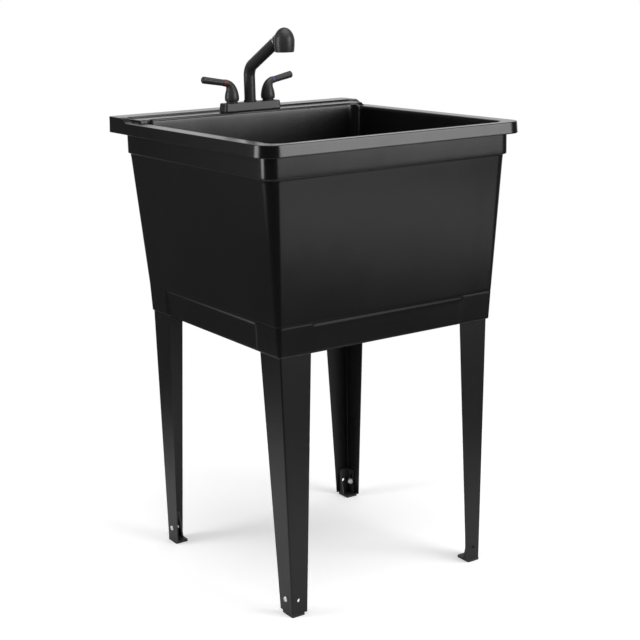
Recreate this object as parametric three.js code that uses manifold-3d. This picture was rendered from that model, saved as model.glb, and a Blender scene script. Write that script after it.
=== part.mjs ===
// A free-standing utility laundry sink: a moulded tub on four folded steel legs, with a
// centre-set faucet whose spray head pulls out of the spout.
// Millimetres. +Z is up, -Y is the front, and the origin lies on the floor at the centre
// of the rim's outline.

import * as THREE from 'three';
import { mergeVertices } from 'three/addons/utils/BufferGeometryUtils.js';
import Module from 'manifold-3d';

const wasm = await Module();
wasm.setup();

// ---------------------------------------------------------------------------
// Driving dimensions
// ---------------------------------------------------------------------------

// Running and seating clearances
const GAP = 0.3;
const DRAW = 0.6;

// Tub: rim and deck
const RIM_HEIGHT = 864;
const RIM_WIDTH = 560;
const RIM_DEPTH = 582;
const RIM_BAND = 21.5;
const RIM_FLARE = 1.5;
const RIM_FRONT_RADIUS = 34;
const RIM_REAR_RADIUS = 9;
const RIM_INNER_ROUND = 6;
const PLATE = 4.5;
const BAND_WALL = 3.5;
const LEDGE_HEIGHT = 9;
const LEDGE_DEPTH = 48;
const LEDGE_SLOPE_LENGTH = 28;
const LEDGE_STEP = 3;
const DECK_DEPTH = 47;
const DECK_WIDTH = 520;

// Tub: walls
const SIDE_OVERHANG = 16.8;
const FRONT_OVERHANG = 18.6;
const REAR_OVERHANG = 38.3;
const COLLAR_DEPTH = 60;
const COLLAR_STEP = 4;
const COLLAR_FRONT_RADIUS = 22;
const COLLAR_REAR_RADIUS = 14;
const TUB_DEPTH = 373;
const SIDE_TAPER = 23.2;
const FRONT_TAPER = 22.1;
const REAR_TAPER = 18.2;
const WALL = 4.5;
const BODY_TOP_RADIUS = 24;
const BODY_LOW_RADIUS = 10;
const SKIRT_FOOT_RADIUS = 6;
const BODY_REAR_RADIUS = 12;
const SKIRT_FOOT_REAR_RADIUS = 6;

// Tub: bowl, skirt and the recess behind the bowl
const RIM_BESIDE_BOWL = 33;
const BOWL_SIDE_TAPER = 24.3;
const BOWL_REAR_TAPER = 20;
const BOWL_RADIUS = 20.5;
const BOWL_DEPTH = 323;
const FLOOR_FALL = 8;
const FLOOR_ROUND = 22;
const SKIRT_HEIGHT = 55;
const SKIRT_RECESS = 2;
const POCKET_LENGTH = 74;
const POCKET_WALL = 3.2;
const ALCOVE_WIDTH = 300;
const ALCOVE_WALL = 4;

// Legs
const LEG_SHEET = 2;
const LEG_INSET = 4.5;
const REAR_LEG_SPREAD = 2.5;
const FRONT_LEG_SIDE_LEAN = 12;
const FRONT_LEG_LEAN = 3.5;
const REAR_LEG_SIDE_LEAN = 6;
const REAR_LEG_LEAN = 1.5;
const LEG_TOP_FLANGE_X = 64;
const LEG_TOP_FLANGE_Y = 66;
const LEG_FOOT_FLANGE_X = 32;
const LEG_FOOT_FLANGE_Y = 40;
const LEG_TAB_LENGTH = 38;
const LEG_TAB_SETBACK = 19;
const LEG_HOLE = 7.4;
const LEG_HOLE_HEIGHT = 31;
const LEG_HOLE_SETBACK_X = 16;
const LEG_HOLE_SETBACK_Y = 20;

// Levelling feet
const FOOT_BASE_X = 27;
const FOOT_BASE_Y = 34;
const FOOT_BASE = 4.7;
const FOOT_FLANGE = 3;
const FOOT_FLANGE_LENGTH = 26;
const FOOT_HEIGHT = 58;
const FOOT_GUSSET = 3;
const FOOT_SPARE_HOLE = 7.4;
const FOOT_GUSSET_REACH = 13;
const FOOT_TRAVEL = 15;
const FOOT_SCREW = 5.6;
const FOOT_SCREW_HEAD = 10;
const FOOT_SCREW_HEAD_HEIGHT = 2.6;
const FOOT_SCREW_LENGTH = 14;
const FOOT_NUT = 10.5;
const FOOT_NUT_HEIGHT = 4.4;

// Drain
const DRAIN_FROM_FRONT = 259.7;
const DRAIN_FLANGE = 84;
const DRAIN_FLANGE_THICKNESS = 3;
const DRAIN_THREAD = 46;
const DRAIN_BORE = 39;
const DRAIN_BODY_LENGTH = 42;
const DRAIN_GRID_DEPTH = 16;
const DRAIN_GRID_THICKNESS = 3;
const DRAIN_GRID_BARS = 3;
const DRAIN_GRID_BAR = 2.4;
const DRAIN_GASKET = 70;
const DRAIN_GASKET_THICKNESS = 3;
const DRAIN_NUT = 64;
const DRAIN_NUT_HEIGHT = 10;
const TAILPIECE = 38;
const TAILPIECE_WALL = 2;
const TAILPIECE_FLANGE = 45;
const TAILPIECE_FLANGE_THICKNESS = 3;
const TAILPIECE_LENGTH = 54;
const SLIP_NUT = 56;
const SLIP_NUT_HEIGHT = 17;
const SLIP_WASHER_HEIGHT = 3;
const STOPPER_TAPER = 1.6;
const STOPPER_DEPTH = 12;
const STOPPER_KNOB = 16;
const STOPPER_KNOB_HEIGHT = 12;

// Faucet base and what holds it
const FAUCET_SETBACK = 27;
const BASE_LENGTH = 132;
const BASE_WIDTH = 30;
const BASE_HEIGHT = 15.3;
const BASE_CORNER_RADIUS = 6;
const BASE_END_DRAFT = 2.4;
const BASE_SIDE_DRAFT = 1.4;
const BASE_TOP_ROUND = 0.8;
const BASE_CORE_LENGTH = 8;
const BASE_CORE_WIDTH = 18;
const BASE_CORE_DEPTH = 10;
const FAUCET_GASKET = 1.4;
const FAUCET_GASKET_INSET = 2;
const HANDLE_SPACING = 84;
const SHANK = 20;
const SHANK_BORE = 12;
const SHANK_LENGTH = 54;
const SHANK_HOLE = 22;
const SHANK_NUT = 26;
const SHANK_NUT_HEIGHT = 10;
const HOSE_GUIDE = 20;
const HOSE_GUIDE_BORE = 14;
const HOSE_GUIDE_LENGTH = 30;

// Valves and handles
const CARTRIDGE = 19;
const CARTRIDGE_NOSE = 15;
const CARTRIDGE_NOSE_HEIGHT = 12;
const STEM = 8;
const STEM_LENGTH = 10;
const BONNET = 23;
const BONNET_HEIGHT = 3.2;
const BULB_RADIUS = 14.3;
const BULB_FOOT_RADIUS = 12.2;
const BULB_NECK_RADIUS = 8.6;
const BULB_HEIGHT = 29;
const LEVER = 13;
const LEVER_TIP = 14;
const LEVER_TIP_CHAMFER = 3;
const LEVER_REACH = 64;
const LEVER_HEIGHT = 33.5;
const LEVER_RISE_ANGLE = 10;
const LEVER_SWEEP_ANGLE = 7;
const LEVER_BEND = 8;
const BAND_START = 10;
const BAND_LENGTH = 8;
const BAND_DEPTH = 0.9;
const SET_SCREW = 4;
const SET_SCREW_LENGTH = 8;
const SET_SCREW_HEIGHT = 13;

// Spout, hose and spray head
const SPOUT = 23;
const SPOUT_BORE = 17;
const SPOUT_CORNER_HEIGHT = 66;
const SPOUT_BEND_RADIUS = 26;
const SPOUT_RISE_ANGLE = 27.3;
const SPOUT_ARM = 121;
const SPOUT_STUB = 17;
const SPOUT_STUB_BORE = 12.6;
const SPOUT_STUB_LENGTH = 14;
const SPOUT_COLLAR = 25.6;
const SPOUT_COLLAR_HEIGHT = 3;
const BUSH_WALL = 1.2;
const O_RING = 2;
const O_RING_DEPTH = 0.8;
const DOCK_RING = 24.6;
const DOCK_RING_THICKNESS = 1.8;
const HOSE = 11;
const FERRULE = 14;
const FERRULE_LENGTH = 10;
const PLUG = 16;
const PLUG_LENGTH = 14;
const PLUG_BORE = 8;
const HEAD_RADIUS = 20;
const HEAD_FOOT_RADIUS = 18.4;
const HEAD_HEIGHT = 46.5;
const HEAD_REACH = 134;
const HEAD_FOOT_ABOVE_CORNER = 35.4;
const HEAD_WALL = 2.6;
const FACE_THICKNESS = 4;
const FACE_NOZZLES = 10;
const FACE_NOZZLE = 2.2;
const FACE_CENTRE_BORE = 7;

// Smoothness of round shapes
const CORNER_STEPS = 6;
const ROUND_STEPS = 24;
const SMALL_ROUND_STEPS = 14;
const SPOUT_STEPS = 18;

// ---------------------------------------------------------------------------
// Places that follow from the driving dimensions
// ---------------------------------------------------------------------------

const plateUnderside = RIM_HEIGHT - PLATE;
const collarBottom = RIM_HEIGHT - COLLAR_DEPTH;
const skirtBottom = RIM_HEIGHT - TUB_DEPTH;
const skirtTop = skirtBottom + SKIRT_HEIGHT;
const floorEdge = RIM_HEIGHT - BOWL_DEPTH;
const floorCentre = floorEdge - FLOOR_FALL;
const ledgeTop = RIM_HEIGHT + LEDGE_HEIGHT;
const ledgeFace = RIM_DEPTH / 2 - LEDGE_DEPTH;
const deckTop = ledgeTop - LEDGE_STEP;
const deckUnderside = deckTop - PLATE;
const bowlRearTop = ledgeFace - DECK_DEPTH;
const footLift = FOOT_BASE + GAP;

const faucetY = ledgeFace - FAUCET_SETBACK;
const gasketBottom = deckTop + GAP;
const baseBottom = gasketBottom + FAUCET_GASKET + GAP;
const baseTop = baseBottom + BASE_HEIGHT;
const spoutCornerHeight = baseTop + SPOUT_CORNER_HEIGHT;

const LEFT = -1;
const RIGHT = 1;
const FRONT = -1;
const REAR = 1;

// How far down the tapered wall a height lies: 0 at the collar's lower edge, 1 at the foot
function taperAt(z) {
  return (collarBottom - z) / (collarBottom - skirtBottom);
}

// The outer faces of the tapered body at one height
function bodyAt(z) {
  const down = taperAt(z);
  return {
    halfWidth: RIM_WIDTH / 2 - SIDE_OVERHANG - COLLAR_STEP - SIDE_TAPER * down,
    front: -(RIM_DEPTH / 2 - FRONT_OVERHANG - COLLAR_STEP - FRONT_TAPER * down),
    rear: RIM_DEPTH / 2 - REAR_OVERHANG - COLLAR_STEP - REAR_TAPER * down,
  };
}

// The bowl's own side and rear faces; its front wall is the body's front wall
function bowlHalfWidthAt(z) {
  return RIM_WIDTH / 2 - RIM_BESIDE_BOWL - BOWL_SIDE_TAPER * (RIM_HEIGHT - z) / TUB_DEPTH;
}

function bowlRearAt(z) {
  return bowlRearTop - BOWL_REAR_TAPER * (RIM_HEIGHT - z) / TUB_DEPTH;
}

const drainY = DRAIN_FROM_FRONT - RIM_DEPTH / 2;

// ---------------------------------------------------------------------------
// Shape helpers
// ---------------------------------------------------------------------------

// A closed solid from any closed geometry, with its faces turned outwards
function solid(geometry) {
  const bare = geometry.clone();
  bare.deleteAttribute('normal');
  bare.deleteAttribute('uv');
  const merged = mergeVertices(bare, 1e-4);
  const points = merged.attributes.position.array;
  const corners = merged.index.array;
  const kept = [];
  let volume = 0;
  for (let i = 0; i < corners.length; i += 3) {
    const [a, b, c] = corners.slice(i, i + 3);
    if (a === b || b === c || c === a) continue;
    kept.push(a, b, c);
    const [p, q, r] = [a, b, c].map((n) => new THREE.Vector3().fromArray(points, 3 * n));
    volume += p.dot(q.cross(r));
  }
  if (volume < 0) kept.reverse();
  return new wasm.Manifold(new wasm.Mesh({
    numProp: 3,
    vertProperties: new Float32Array(points),
    triVerts: new Uint32Array(kept),
  }));
}

function geometryOf(body) {
  const mesh = body.getMesh();
  const geometry = new THREE.BufferGeometry();
  geometry.setAttribute('position', new THREE.BufferAttribute(mesh.vertProperties, 3));
  geometry.setIndex(new THREE.BufferAttribute(mesh.triVerts, 1));
  geometry.computeVertexNormals();
  return geometry;
}

// A skin over plane outlines of equal point counts, stacked upwards, with flat ends
function loft(levels) {
  const count = levels[0].outline.length;
  const positions = levels.flatMap(({ z, outline }) => outline.flatMap((p) => [p.x, p.y, z]));
  const index = [];
  for (let level = 0; level < levels.length - 1; level += 1) {
    for (let i = 0; i < count; i += 1) {
      const a = level * count + i;
      const b = level * count + (i + 1) % count;
      index.push(a, b, b + count, a, b + count, a + count);
    }
  }
  const top = (levels.length - 1) * count;
  for (const [a, b, c] of THREE.ShapeUtils.triangulateShape(levels[0].outline, [])) {
    index.push(a, c, b);
  }
  for (const [a, b, c] of THREE.ShapeUtils.triangulateShape(levels.at(-1).outline, [])) {
    index.push(top + a, top + b, top + c);
  }
  const geometry = new THREE.BufferGeometry();
  geometry.setAttribute('position', new THREE.Float32BufferAttribute(positions, 3));
  geometry.setIndex(index);
  return solid(geometry);
}

// A rectangle with rounded corners, anticlockwise as seen from above
function roundedPlan({ halfWidth, front, rear, frontRadius, rearRadius }) {
  const corners = [
    { x: halfWidth - rearRadius, y: rear - rearRadius, radius: rearRadius },
    { x: -halfWidth + rearRadius, y: rear - rearRadius, radius: rearRadius },
    { x: -halfWidth + frontRadius, y: front + frontRadius, radius: frontRadius },
    { x: halfWidth - frontRadius, y: front + frontRadius, radius: frontRadius },
  ];
  return corners.flatMap((corner, quarter) => {
    const arc = [];
    for (let step = 0; step <= CORNER_STEPS; step += 1) {
      const angle = (quarter + step / CORNER_STEPS) * Math.PI / 2;
      arc.push(new THREE.Vector2(
        corner.x + corner.radius * Math.cos(angle),
        corner.y + corner.radius * Math.sin(angle),
      ));
    }
    return arc;
  });
}

function box(x0, x1, y0, y1, z0, z1) {
  const geometry = new THREE.BoxGeometry(x1 - x0, y1 - y0, z1 - z0);
  return solid(geometry.translate((x0 + x1) / 2, (y0 + y1) / 2, (z0 + z1) / 2));
}

function cylinder(diameter, z0, z1, steps = ROUND_STEPS) {
  const geometry = new THREE.CylinderGeometry(diameter / 2, diameter / 2, z1 - z0, steps);
  return solid(geometry.rotateX(Math.PI / 2).translate(0, 0, (z0 + z1) / 2));
}

// A solid of revolution about Z, from a closed profile of [radius, height] pairs
function turned(profile, steps = ROUND_STEPS) {
  const points = profile.map(([radius, height]) => new THREE.Vector2(radius, height));
  const onAxis = profile[0][0] === 0 && profile.at(-1)[0] === 0;
  if (!onAxis) points.push(points[0].clone());
  return solid(new THREE.LatheGeometry(points, steps).rotateX(Math.PI / 2));
}

function tube(outer, inner, z0, z1, steps = ROUND_STEPS) {
  return turned([
    [inner / 2, z0], [outer / 2, z0], [outer / 2, z1], [inner / 2, z1],
  ], steps);
}

// A six-sided nut about Z, measured across its flats
function hexNut(acrossFlats, bore, z0, z1) {
  const acrossCorners = acrossFlats / Math.cos(Math.PI / 6);
  return cylinder(acrossCorners, z0, z1, 6).subtract(cylinder(bore, z0 - 1, z1 + 1));
}

// A round bar along a path
function bar(path, diameter, steps, sides) {
  const section = new THREE.Shape().absarc(0, 0, diameter / 2, 0, 2 * Math.PI);
  const geometry = new THREE.ExtrudeGeometry(section, {
    steps, extrudePath: path, curveSegments: sides,
  });
  return solid(geometry);
}

// An arc from one line to another, tangent to both, with both lines' outer stretches
class BentPath extends THREE.CurvePath {
  constructor(start, corner, end, radius) {
    super();
    const inward = corner.clone().sub(start).normalize();
    const outward = end.clone().sub(corner).normalize();
    const turn = inward.angleTo(outward);
    const setback = radius * Math.tan(turn / 2);
    const arcStart = corner.clone().addScaledVector(inward, -setback);
    const arcEnd = corner.clone().addScaledVector(outward, setback);
    const across = outward.clone().addScaledVector(inward, -outward.dot(inward)).normalize();
    const arc = new THREE.Curve();
    arc.getPoint = (t) => arcStart.clone()
      .addScaledVector(inward, radius * Math.sin(turn * t))
      .addScaledVector(across, radius * (1 - Math.cos(turn * t)));
    this.add(new THREE.LineCurve3(start, arcStart));
    this.add(arc);
    this.add(new THREE.LineCurve3(arcEnd, end));
  }
}

// Turns a solid made along +Z so that it runs along a direction from an origin
function aim(body, origin, direction) {
  const turn = new THREE.Quaternion().setFromUnitVectors(
    new THREE.Vector3(0, 0, 1), direction.clone().normalize(),
  );
  const geometry = geometryOf(body).applyQuaternion(turn);
  return solid(geometry.translate(origin.x, origin.y, origin.z));
}

function place(body, x, y, z = 0) {
  return solid(geometryOf(body).translate(x, y, z));
}

function unite(bodies) {
  return bodies.reduce((sum, body) => sum.add(body));
}

// ---------------------------------------------------------------------------
// Finishes and the scene graph
// ---------------------------------------------------------------------------

function finish(color, roughness, metalness = 0) {
  return new THREE.MeshStandardMaterial({ color, roughness, metalness });
}

const tubPlastic = finish(0x1d1c1d, 0.38);
const legPaint = finish(0x2b2a2b, 0.42, 0.3);
const footPlastic = finish(0x171717, 0.55);
const screwSteel = finish(0xc9ccce, 0.3, 1);
const faucetPlastic = finish(0x2e2e30, 0.5);
const rubber = finish(0x1a1a1a, 0.85);
const whitePlastic = finish(0xd8d8d4, 0.5);
const brass = finish(0xb08d4a, 0.35, 1);
const drainPlastic = finish(0x222224, 0.5);
const dockMetal = finish(0xa9abad, 0.3, 0.9);
const hotRed = finish(0x6e2626, 0.5);
const coldBlue = finish(0x2f3160, 0.5);
const hoseGrey = finish(0x55585a, 0.5, 0.3);

const sink = new THREE.Group();

function addPart(name, body, material) {
  const mesh = new THREE.Mesh(geometryOf(body), material);
  mesh.name = name;
  sink.add(mesh);
}

// ---------------------------------------------------------------------------
// Tub
// ---------------------------------------------------------------------------

function bodyOutline(z, inset = 0) {
  const wall = bodyAt(z);
  const down = THREE.MathUtils.clamp(taperAt(z), 0, 1);
  const lineDown = taperAt(skirtTop);
  const frontRadius = down <= lineDown
    ? THREE.MathUtils.lerp(BODY_TOP_RADIUS, BODY_LOW_RADIUS, down / lineDown)
    : THREE.MathUtils.lerp(BODY_LOW_RADIUS, SKIRT_FOOT_RADIUS,
      (down - lineDown) / (1 - lineDown));
  const rearRadius = down <= lineDown
    ? BODY_REAR_RADIUS
    : THREE.MathUtils.lerp(BODY_REAR_RADIUS, SKIRT_FOOT_REAR_RADIUS,
      (down - lineDown) / (1 - lineDown));
  return roundedPlan({
    halfWidth: wall.halfWidth - inset,
    front: wall.front + inset,
    rear: wall.rear - inset,
    frontRadius: Math.max(frontRadius - inset, 1),
    rearRadius: Math.max(rearRadius - inset, 1),
  });
}

// The collar stands proud of the body all round, and its faces are upright
function collarSolid() {
  const wall = bodyAt(collarBottom);
  const outline = roundedPlan({
    halfWidth: wall.halfWidth + COLLAR_STEP,
    front: wall.front - COLLAR_STEP,
    rear: wall.rear + COLLAR_STEP,
    frontRadius: COLLAR_FRONT_RADIUS,
    rearRadius: COLLAR_REAR_RADIUS,
  });
  return loft([collarBottom, plateUnderside].map((z) => ({ z, outline })));
}

function bodySolid(inset, bottom, top) {
  const heights = [bottom, skirtTop, top].sort((a, b) => a - b);
  return loft(heights.map((z) => ({ z, outline: bodyOutline(z, inset) })));
}

// The rim's rear face stands upright, so that it can meet a wall
function rimOutline(spread, rearSpread = spread) {
  return roundedPlan({
    halfWidth: RIM_WIDTH / 2 + spread,
    front: -RIM_DEPTH / 2 - spread,
    rear: RIM_DEPTH / 2 + rearSpread,
    frontRadius: RIM_FRONT_RADIUS + spread,
    rearRadius: Math.max(RIM_REAR_RADIUS + spread, 1),
  });
}

// The rim's plate with its turned-down band, open underneath
function rimSolid() {
  const bandBottom = RIM_HEIGHT - RIM_BAND;
  const outside = loft([
    { z: bandBottom, outline: rimOutline(0) },
    { z: RIM_HEIGHT, outline: rimOutline(-RIM_FLARE, 0) },
  ]);
  const inside = loft([
    { z: bandBottom - 1, outline: rimOutline(-BAND_WALL) },
    { z: plateUnderside, outline: rimOutline(-BAND_WALL - RIM_FLARE, -BAND_WALL) },
  ]);
  return outside.subtract(inside);
}

// Turns a shape drawn in Y and Z into a solid that runs along X, centred on the middle
function acrossSolid(profile, width) {
  const geometry = new THREE.ExtrudeGeometry(profile, {
    depth: width, bevelEnabled: false, curveSegments: 8,
  });
  return solid(geometry.rotateX(Math.PI / 2).rotateZ(Math.PI / 2).translate(-width / 2, 0, 0));
}

// The ledge runs along the rear edge and slopes down to the rim on both sides. The
// faucet's deck lies one step below it.
function ledgeSolid() {
  const rear = RIM_DEPTH / 2;
  const base = RIM_HEIGHT - 1;
  const slopeFoot = ledgeFace - LEDGE_SLOPE_LENGTH;
  const profile = new THREE.Shape();
  profile.moveTo(rear, base);
  profile.lineTo(rear, ledgeTop);
  profile.lineTo(ledgeFace, ledgeTop);
  profile.bezierCurveTo(
    ledgeFace - LEDGE_SLOPE_LENGTH / 2, ledgeTop,
    ledgeFace - LEDGE_SLOPE_LENGTH / 2, RIM_HEIGHT,
    slopeFoot, RIM_HEIGHT,
  );
  profile.lineTo(slopeFoot, base);
  const outside = loft([base, ledgeTop].map((z) => ({ z, outline: rimOutline(-RIM_FLARE, 0) })));
  const deckFront = bowlRearTop - 2 * RIM_INNER_ROUND;
  const deckHalf = DECK_WIDTH / 2;
  return acrossSolid(profile, RIM_WIDTH)
    .intersect(outside)
    .subtract(box(-deckHalf, deckHalf, deckFront, ledgeFace, deckTop, ledgeTop + 1))
    .add(box(-deckHalf, deckHalf, deckFront, ledgeFace + 1, base, deckTop));
}

function bowlOutline(z, spread, rearSpread = spread) {
  return roundedPlan({
    halfWidth: bowlHalfWidthAt(z) + spread,
    front: bodyAt(z).front + WALL - spread,
    rear: bowlRearAt(z) + rearSpread,
    frontRadius: BOWL_RADIUS + spread,
    rearRadius: BOWL_RADIUS + rearSpread,
  });
}

// The bowl's hollow, or with a spread the outside of the bowl's own wall
function bowlSolid(spread, top) {
  const levels = [];
  const centreCircle = bowlOutline(floorEdge, spread).map((p) => {
    const away = new THREE.Vector2(p.x, p.y - drainY).normalize();
    return new THREE.Vector2(
      away.x * DRAIN_FLANGE / 2,
      drainY + away.y * DRAIN_FLANGE / 2,
    );
  });
  levels.push({ z: floorCentre - spread, outline: centreCircle });
  for (let step = 0; step <= 4; step += 1) {
    const angle = step / 4 * Math.PI / 2;
    const z = floorEdge + FLOOR_ROUND * (1 - Math.cos(angle)) - spread;
    const inset = FLOOR_ROUND * (1 - Math.sin(angle));
    levels.push({ z, outline: bowlOutline(z, spread - inset) });
  }
  if (top <= RIM_HEIGHT) {
    levels.push({ z: top, outline: bowlOutline(top, spread) });
    return loft(levels);
  }
  // The front and side edges are rounded up to the rim, the rear edge up to the deck
  for (let step = 0; step <= 3; step += 1) {
    const angle = step / 3 * Math.PI / 2;
    const z = RIM_HEIGHT - RIM_INNER_ROUND * (1 - Math.sin(angle));
    const flare = RIM_INNER_ROUND * (1 - Math.cos(angle));
    levels.push({ z, outline: bowlOutline(z, spread + flare, spread) });
  }
  const edge = spread + RIM_INNER_ROUND;
  for (let step = 1; step <= 3; step += 1) {
    const angle = step / 3 * Math.PI / 2;
    const z = deckTop - RIM_INNER_ROUND * (1 - Math.sin(angle));
    const flare = RIM_INNER_ROUND * (1 - Math.cos(angle));
    levels.push({ z, outline: bowlOutline(z, edge, spread + flare) });
  }
  levels.push({ z: top, outline: bowlOutline(top, edge) });
  return loft(levels);
}

// The open space behind the bowl, where the faucet's shanks come down
function alcoveSolid(wallThickness, top) {
  const halfWidth = ALCOVE_WIDTH / 2 + wallThickness;
  const rear = RIM_DEPTH / 2 - REAR_OVERHANG + COLLAR_STEP;
  return loft([skirtBottom - 1, top].map((z) => ({
    z,
    outline: [
      new THREE.Vector2(-halfWidth, bowlRearAt(z) + WALL - (wallThickness ? 1 : 0)),
      new THREE.Vector2(halfWidth, bowlRearAt(z) + WALL - (wallThickness ? 1 : 0)),
      new THREE.Vector2(halfWidth, rear),
      new THREE.Vector2(-halfWidth, rear),
    ],
  })));
}

// Shallow recesses in the skirt between the leg pockets, on the front and both sides
function skirtRecessSolid() {
  const reach = 20;
  const heights = [skirtBottom - 1, skirtTop];
  const panels = [LEFT, RIGHT].map((side) => loft(heights.map((z) => {
    const wall = bodyAt(z);
    const face = side * (wall.halfWidth - SKIRT_RECESS);
    const out = side * (wall.halfWidth + reach);
    return {
      z,
      outline: [
        new THREE.Vector2(Math.min(face, out), wall.front + POCKET_LENGTH),
        new THREE.Vector2(Math.max(face, out), wall.front + POCKET_LENGTH),
        new THREE.Vector2(Math.max(face, out), wall.rear - POCKET_LENGTH),
        new THREE.Vector2(Math.min(face, out), wall.rear - POCKET_LENGTH),
      ],
    };
  })));
  panels.push(loft(heights.map((z) => {
    const wall = bodyAt(z);
    const halfWidth = wall.halfWidth - POCKET_LENGTH;
    return {
      z,
      outline: [
        new THREE.Vector2(-halfWidth, wall.front - reach),
        new THREE.Vector2(halfWidth, wall.front - reach),
        new THREE.Vector2(halfWidth, wall.front + SKIRT_RECESS),
        new THREE.Vector2(-halfWidth, wall.front + SKIRT_RECESS),
      ],
    };
  })));
  return unite(panels);
}

function tubSolid() {
  const underside = bodySolid(WALL, skirtBottom - 1, plateUnderside)
    .subtract(bowlSolid(WALL, plateUnderside + 1))
    .subtract(alcoveSolid(ALCOVE_WALL, plateUnderside));
  let tub = bodySolid(0, skirtBottom, plateUnderside)
    .add(collarSolid())
    .subtract(underside)
    .add(rimSolid())
    .add(ledgeSolid())
    .subtract(alcoveSolid(0, deckUnderside));
  for (const side of [LEFT, RIGHT]) {
    for (const end of [FRONT, REAR]) {
      tub = tub.add(pocketSolid(side, end));
    }
  }
  tub = tub.subtract(skirtRecessSolid()).subtract(bowlSolid(0, ledgeTop));
  for (const side of [LEFT, RIGHT]) {
    for (const end of [FRONT, REAR]) {
      tub = tub.subtract(legTabs(side, end, GAP));
    }
  }
  const flangeSeat = floorCentre - DRAIN_FLANGE_THICKNESS - GAP;
  tub = tub
    .subtract(place(cylinder(DRAIN_THREAD + DRAW, 0, RIM_HEIGHT), 0, drainY))
    .subtract(place(cylinder(DRAIN_FLANGE + DRAW, flangeSeat, RIM_HEIGHT), 0, drainY));
  for (const x of [-HANDLE_SPACING / 2, 0, HANDLE_SPACING / 2]) {
    const hole = cylinder(SHANK_HOLE, deckUnderside - 1, deckTop + 1);
    tub = tub.subtract(place(hole, x, faucetY));
  }
  return tub;
}

// ---------------------------------------------------------------------------
// Legs
// ---------------------------------------------------------------------------

// Where a leg's outer fold stands at one height
function foldAt(side, end, z) {
  const top = bodyAt(skirtBottom);
  const down = (skirtBottom - z) / skirtBottom;
  if (end === FRONT) {
    return new THREE.Vector2(
      side * (top.halfWidth - LEG_INSET - FRONT_LEG_SIDE_LEAN * down),
      top.front + LEG_INSET + FRONT_LEG_LEAN * down,
    );
  }
  return new THREE.Vector2(
    side * (top.halfWidth - LEG_INSET + REAR_LEG_SPREAD - REAR_LEG_SIDE_LEAN * down),
    top.rear - LEG_INSET - REAR_LEG_LEAN * down,
  );
}

// An angle section with its corner at a point, its flanges running inwards
function angleOutline(corner, side, end, [flangeX, flangeY], sheet, shift = 0) {
  const points = [
    [shift, shift], [flangeX, shift], [flangeX, sheet],
    [sheet, sheet], [sheet, flangeY], [shift, flangeY],
  ].map(([x, y]) => new THREE.Vector2(corner.x - side * x, corner.y - end * y));
  return side * end > 0 ? points : points.reverse();
}

function legSection(side, end, z, grow) {
  const up = z / skirtBottom;
  const flanges = [
    THREE.MathUtils.lerp(LEG_FOOT_FLANGE_X, LEG_TOP_FLANGE_X, up) + grow,
    THREE.MathUtils.lerp(LEG_FOOT_FLANGE_Y, LEG_TOP_FLANGE_Y, up) + grow,
  ];
  return {
    z,
    outline: angleOutline(foldAt(side, end, z), side, end, flanges, LEG_SHEET + grow, -grow),
  };
}

// What is cut from the fold above the skirt's foot, leaving one tab on each flange
function foldNotch(side, end, setback) {
  const corner = foldAt(side, end, skirtBottom);
  const xs = [corner.x - side * setback, corner.x + side * setback];
  const ys = [corner.y - end * setback, corner.y + end * setback];
  return box(
    Math.min(...xs), Math.max(...xs), Math.min(...ys), Math.max(...ys),
    skirtBottom - GAP, skirtBottom + LEG_TAB_LENGTH + 2,
  );
}

function legTabs(side, end, grow) {
  const bottom = skirtBottom - 1;
  const top = skirtBottom + LEG_TAB_LENGTH + grow;
  return loft([bottom, top].map((z) => legSection(side, end, z, grow)))
    .subtract(foldNotch(side, end, LEG_TAB_SETBACK - grow))
    .subtract(box(-RIM_WIDTH, RIM_WIDTH, -RIM_DEPTH, RIM_DEPTH, 0, skirtBottom - GAP));
}

// The block in a skirt corner that holds the leg's two tabs
function pocketSolid(side, end) {
  const depth = LEG_INSET + LEG_SHEET + GAP + POCKET_WALL;
  const top = skirtBottom + LEG_TAB_LENGTH + POCKET_WALL;
  return loft([skirtBottom, top].map((z) => {
    const wall = bodyAt(z);
    const corner = new THREE.Vector2(
      side * wall.halfWidth, end === FRONT ? wall.front : wall.rear,
    );
    return { z, outline: angleOutline(corner, side, end, [POCKET_LENGTH, POCKET_LENGTH], depth) };
  })).intersect(bodySolid(0, skirtBottom, skirtTop + 1));
}

// The levelling screw's hole line: through the side flange along X
function screwPlace(side, end) {
  const fold = foldAt(side, end, LEG_HOLE_HEIGHT);
  return new THREE.Vector3(fold.x, fold.y - end * LEG_HOLE_SETBACK_Y, LEG_HOLE_HEIGHT);
}

function legSolid(side, end) {
  const heights = [footLift, skirtBottom + LEG_TAB_LENGTH];
  let leg = loft(heights.map((z) => legSection(side, end, z, 0)))
    .subtract(foldNotch(side, end, LEG_TAB_SETBACK));
  const hole = cylinder(LEG_HOLE, -10, 10, SMALL_ROUND_STEPS);
  const fold = foldAt(side, end, LEG_HOLE_HEIGHT);
  const front = new THREE.Vector3(
    fold.x - side * LEG_HOLE_SETBACK_X, fold.y, LEG_HOLE_HEIGHT,
  );
  leg = leg.subtract(aim(hole, screwPlace(side, end), new THREE.Vector3(1, 0, 0)));
  return leg.subtract(aim(hole, front, new THREE.Vector3(0, 1, 0)));
}

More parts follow.
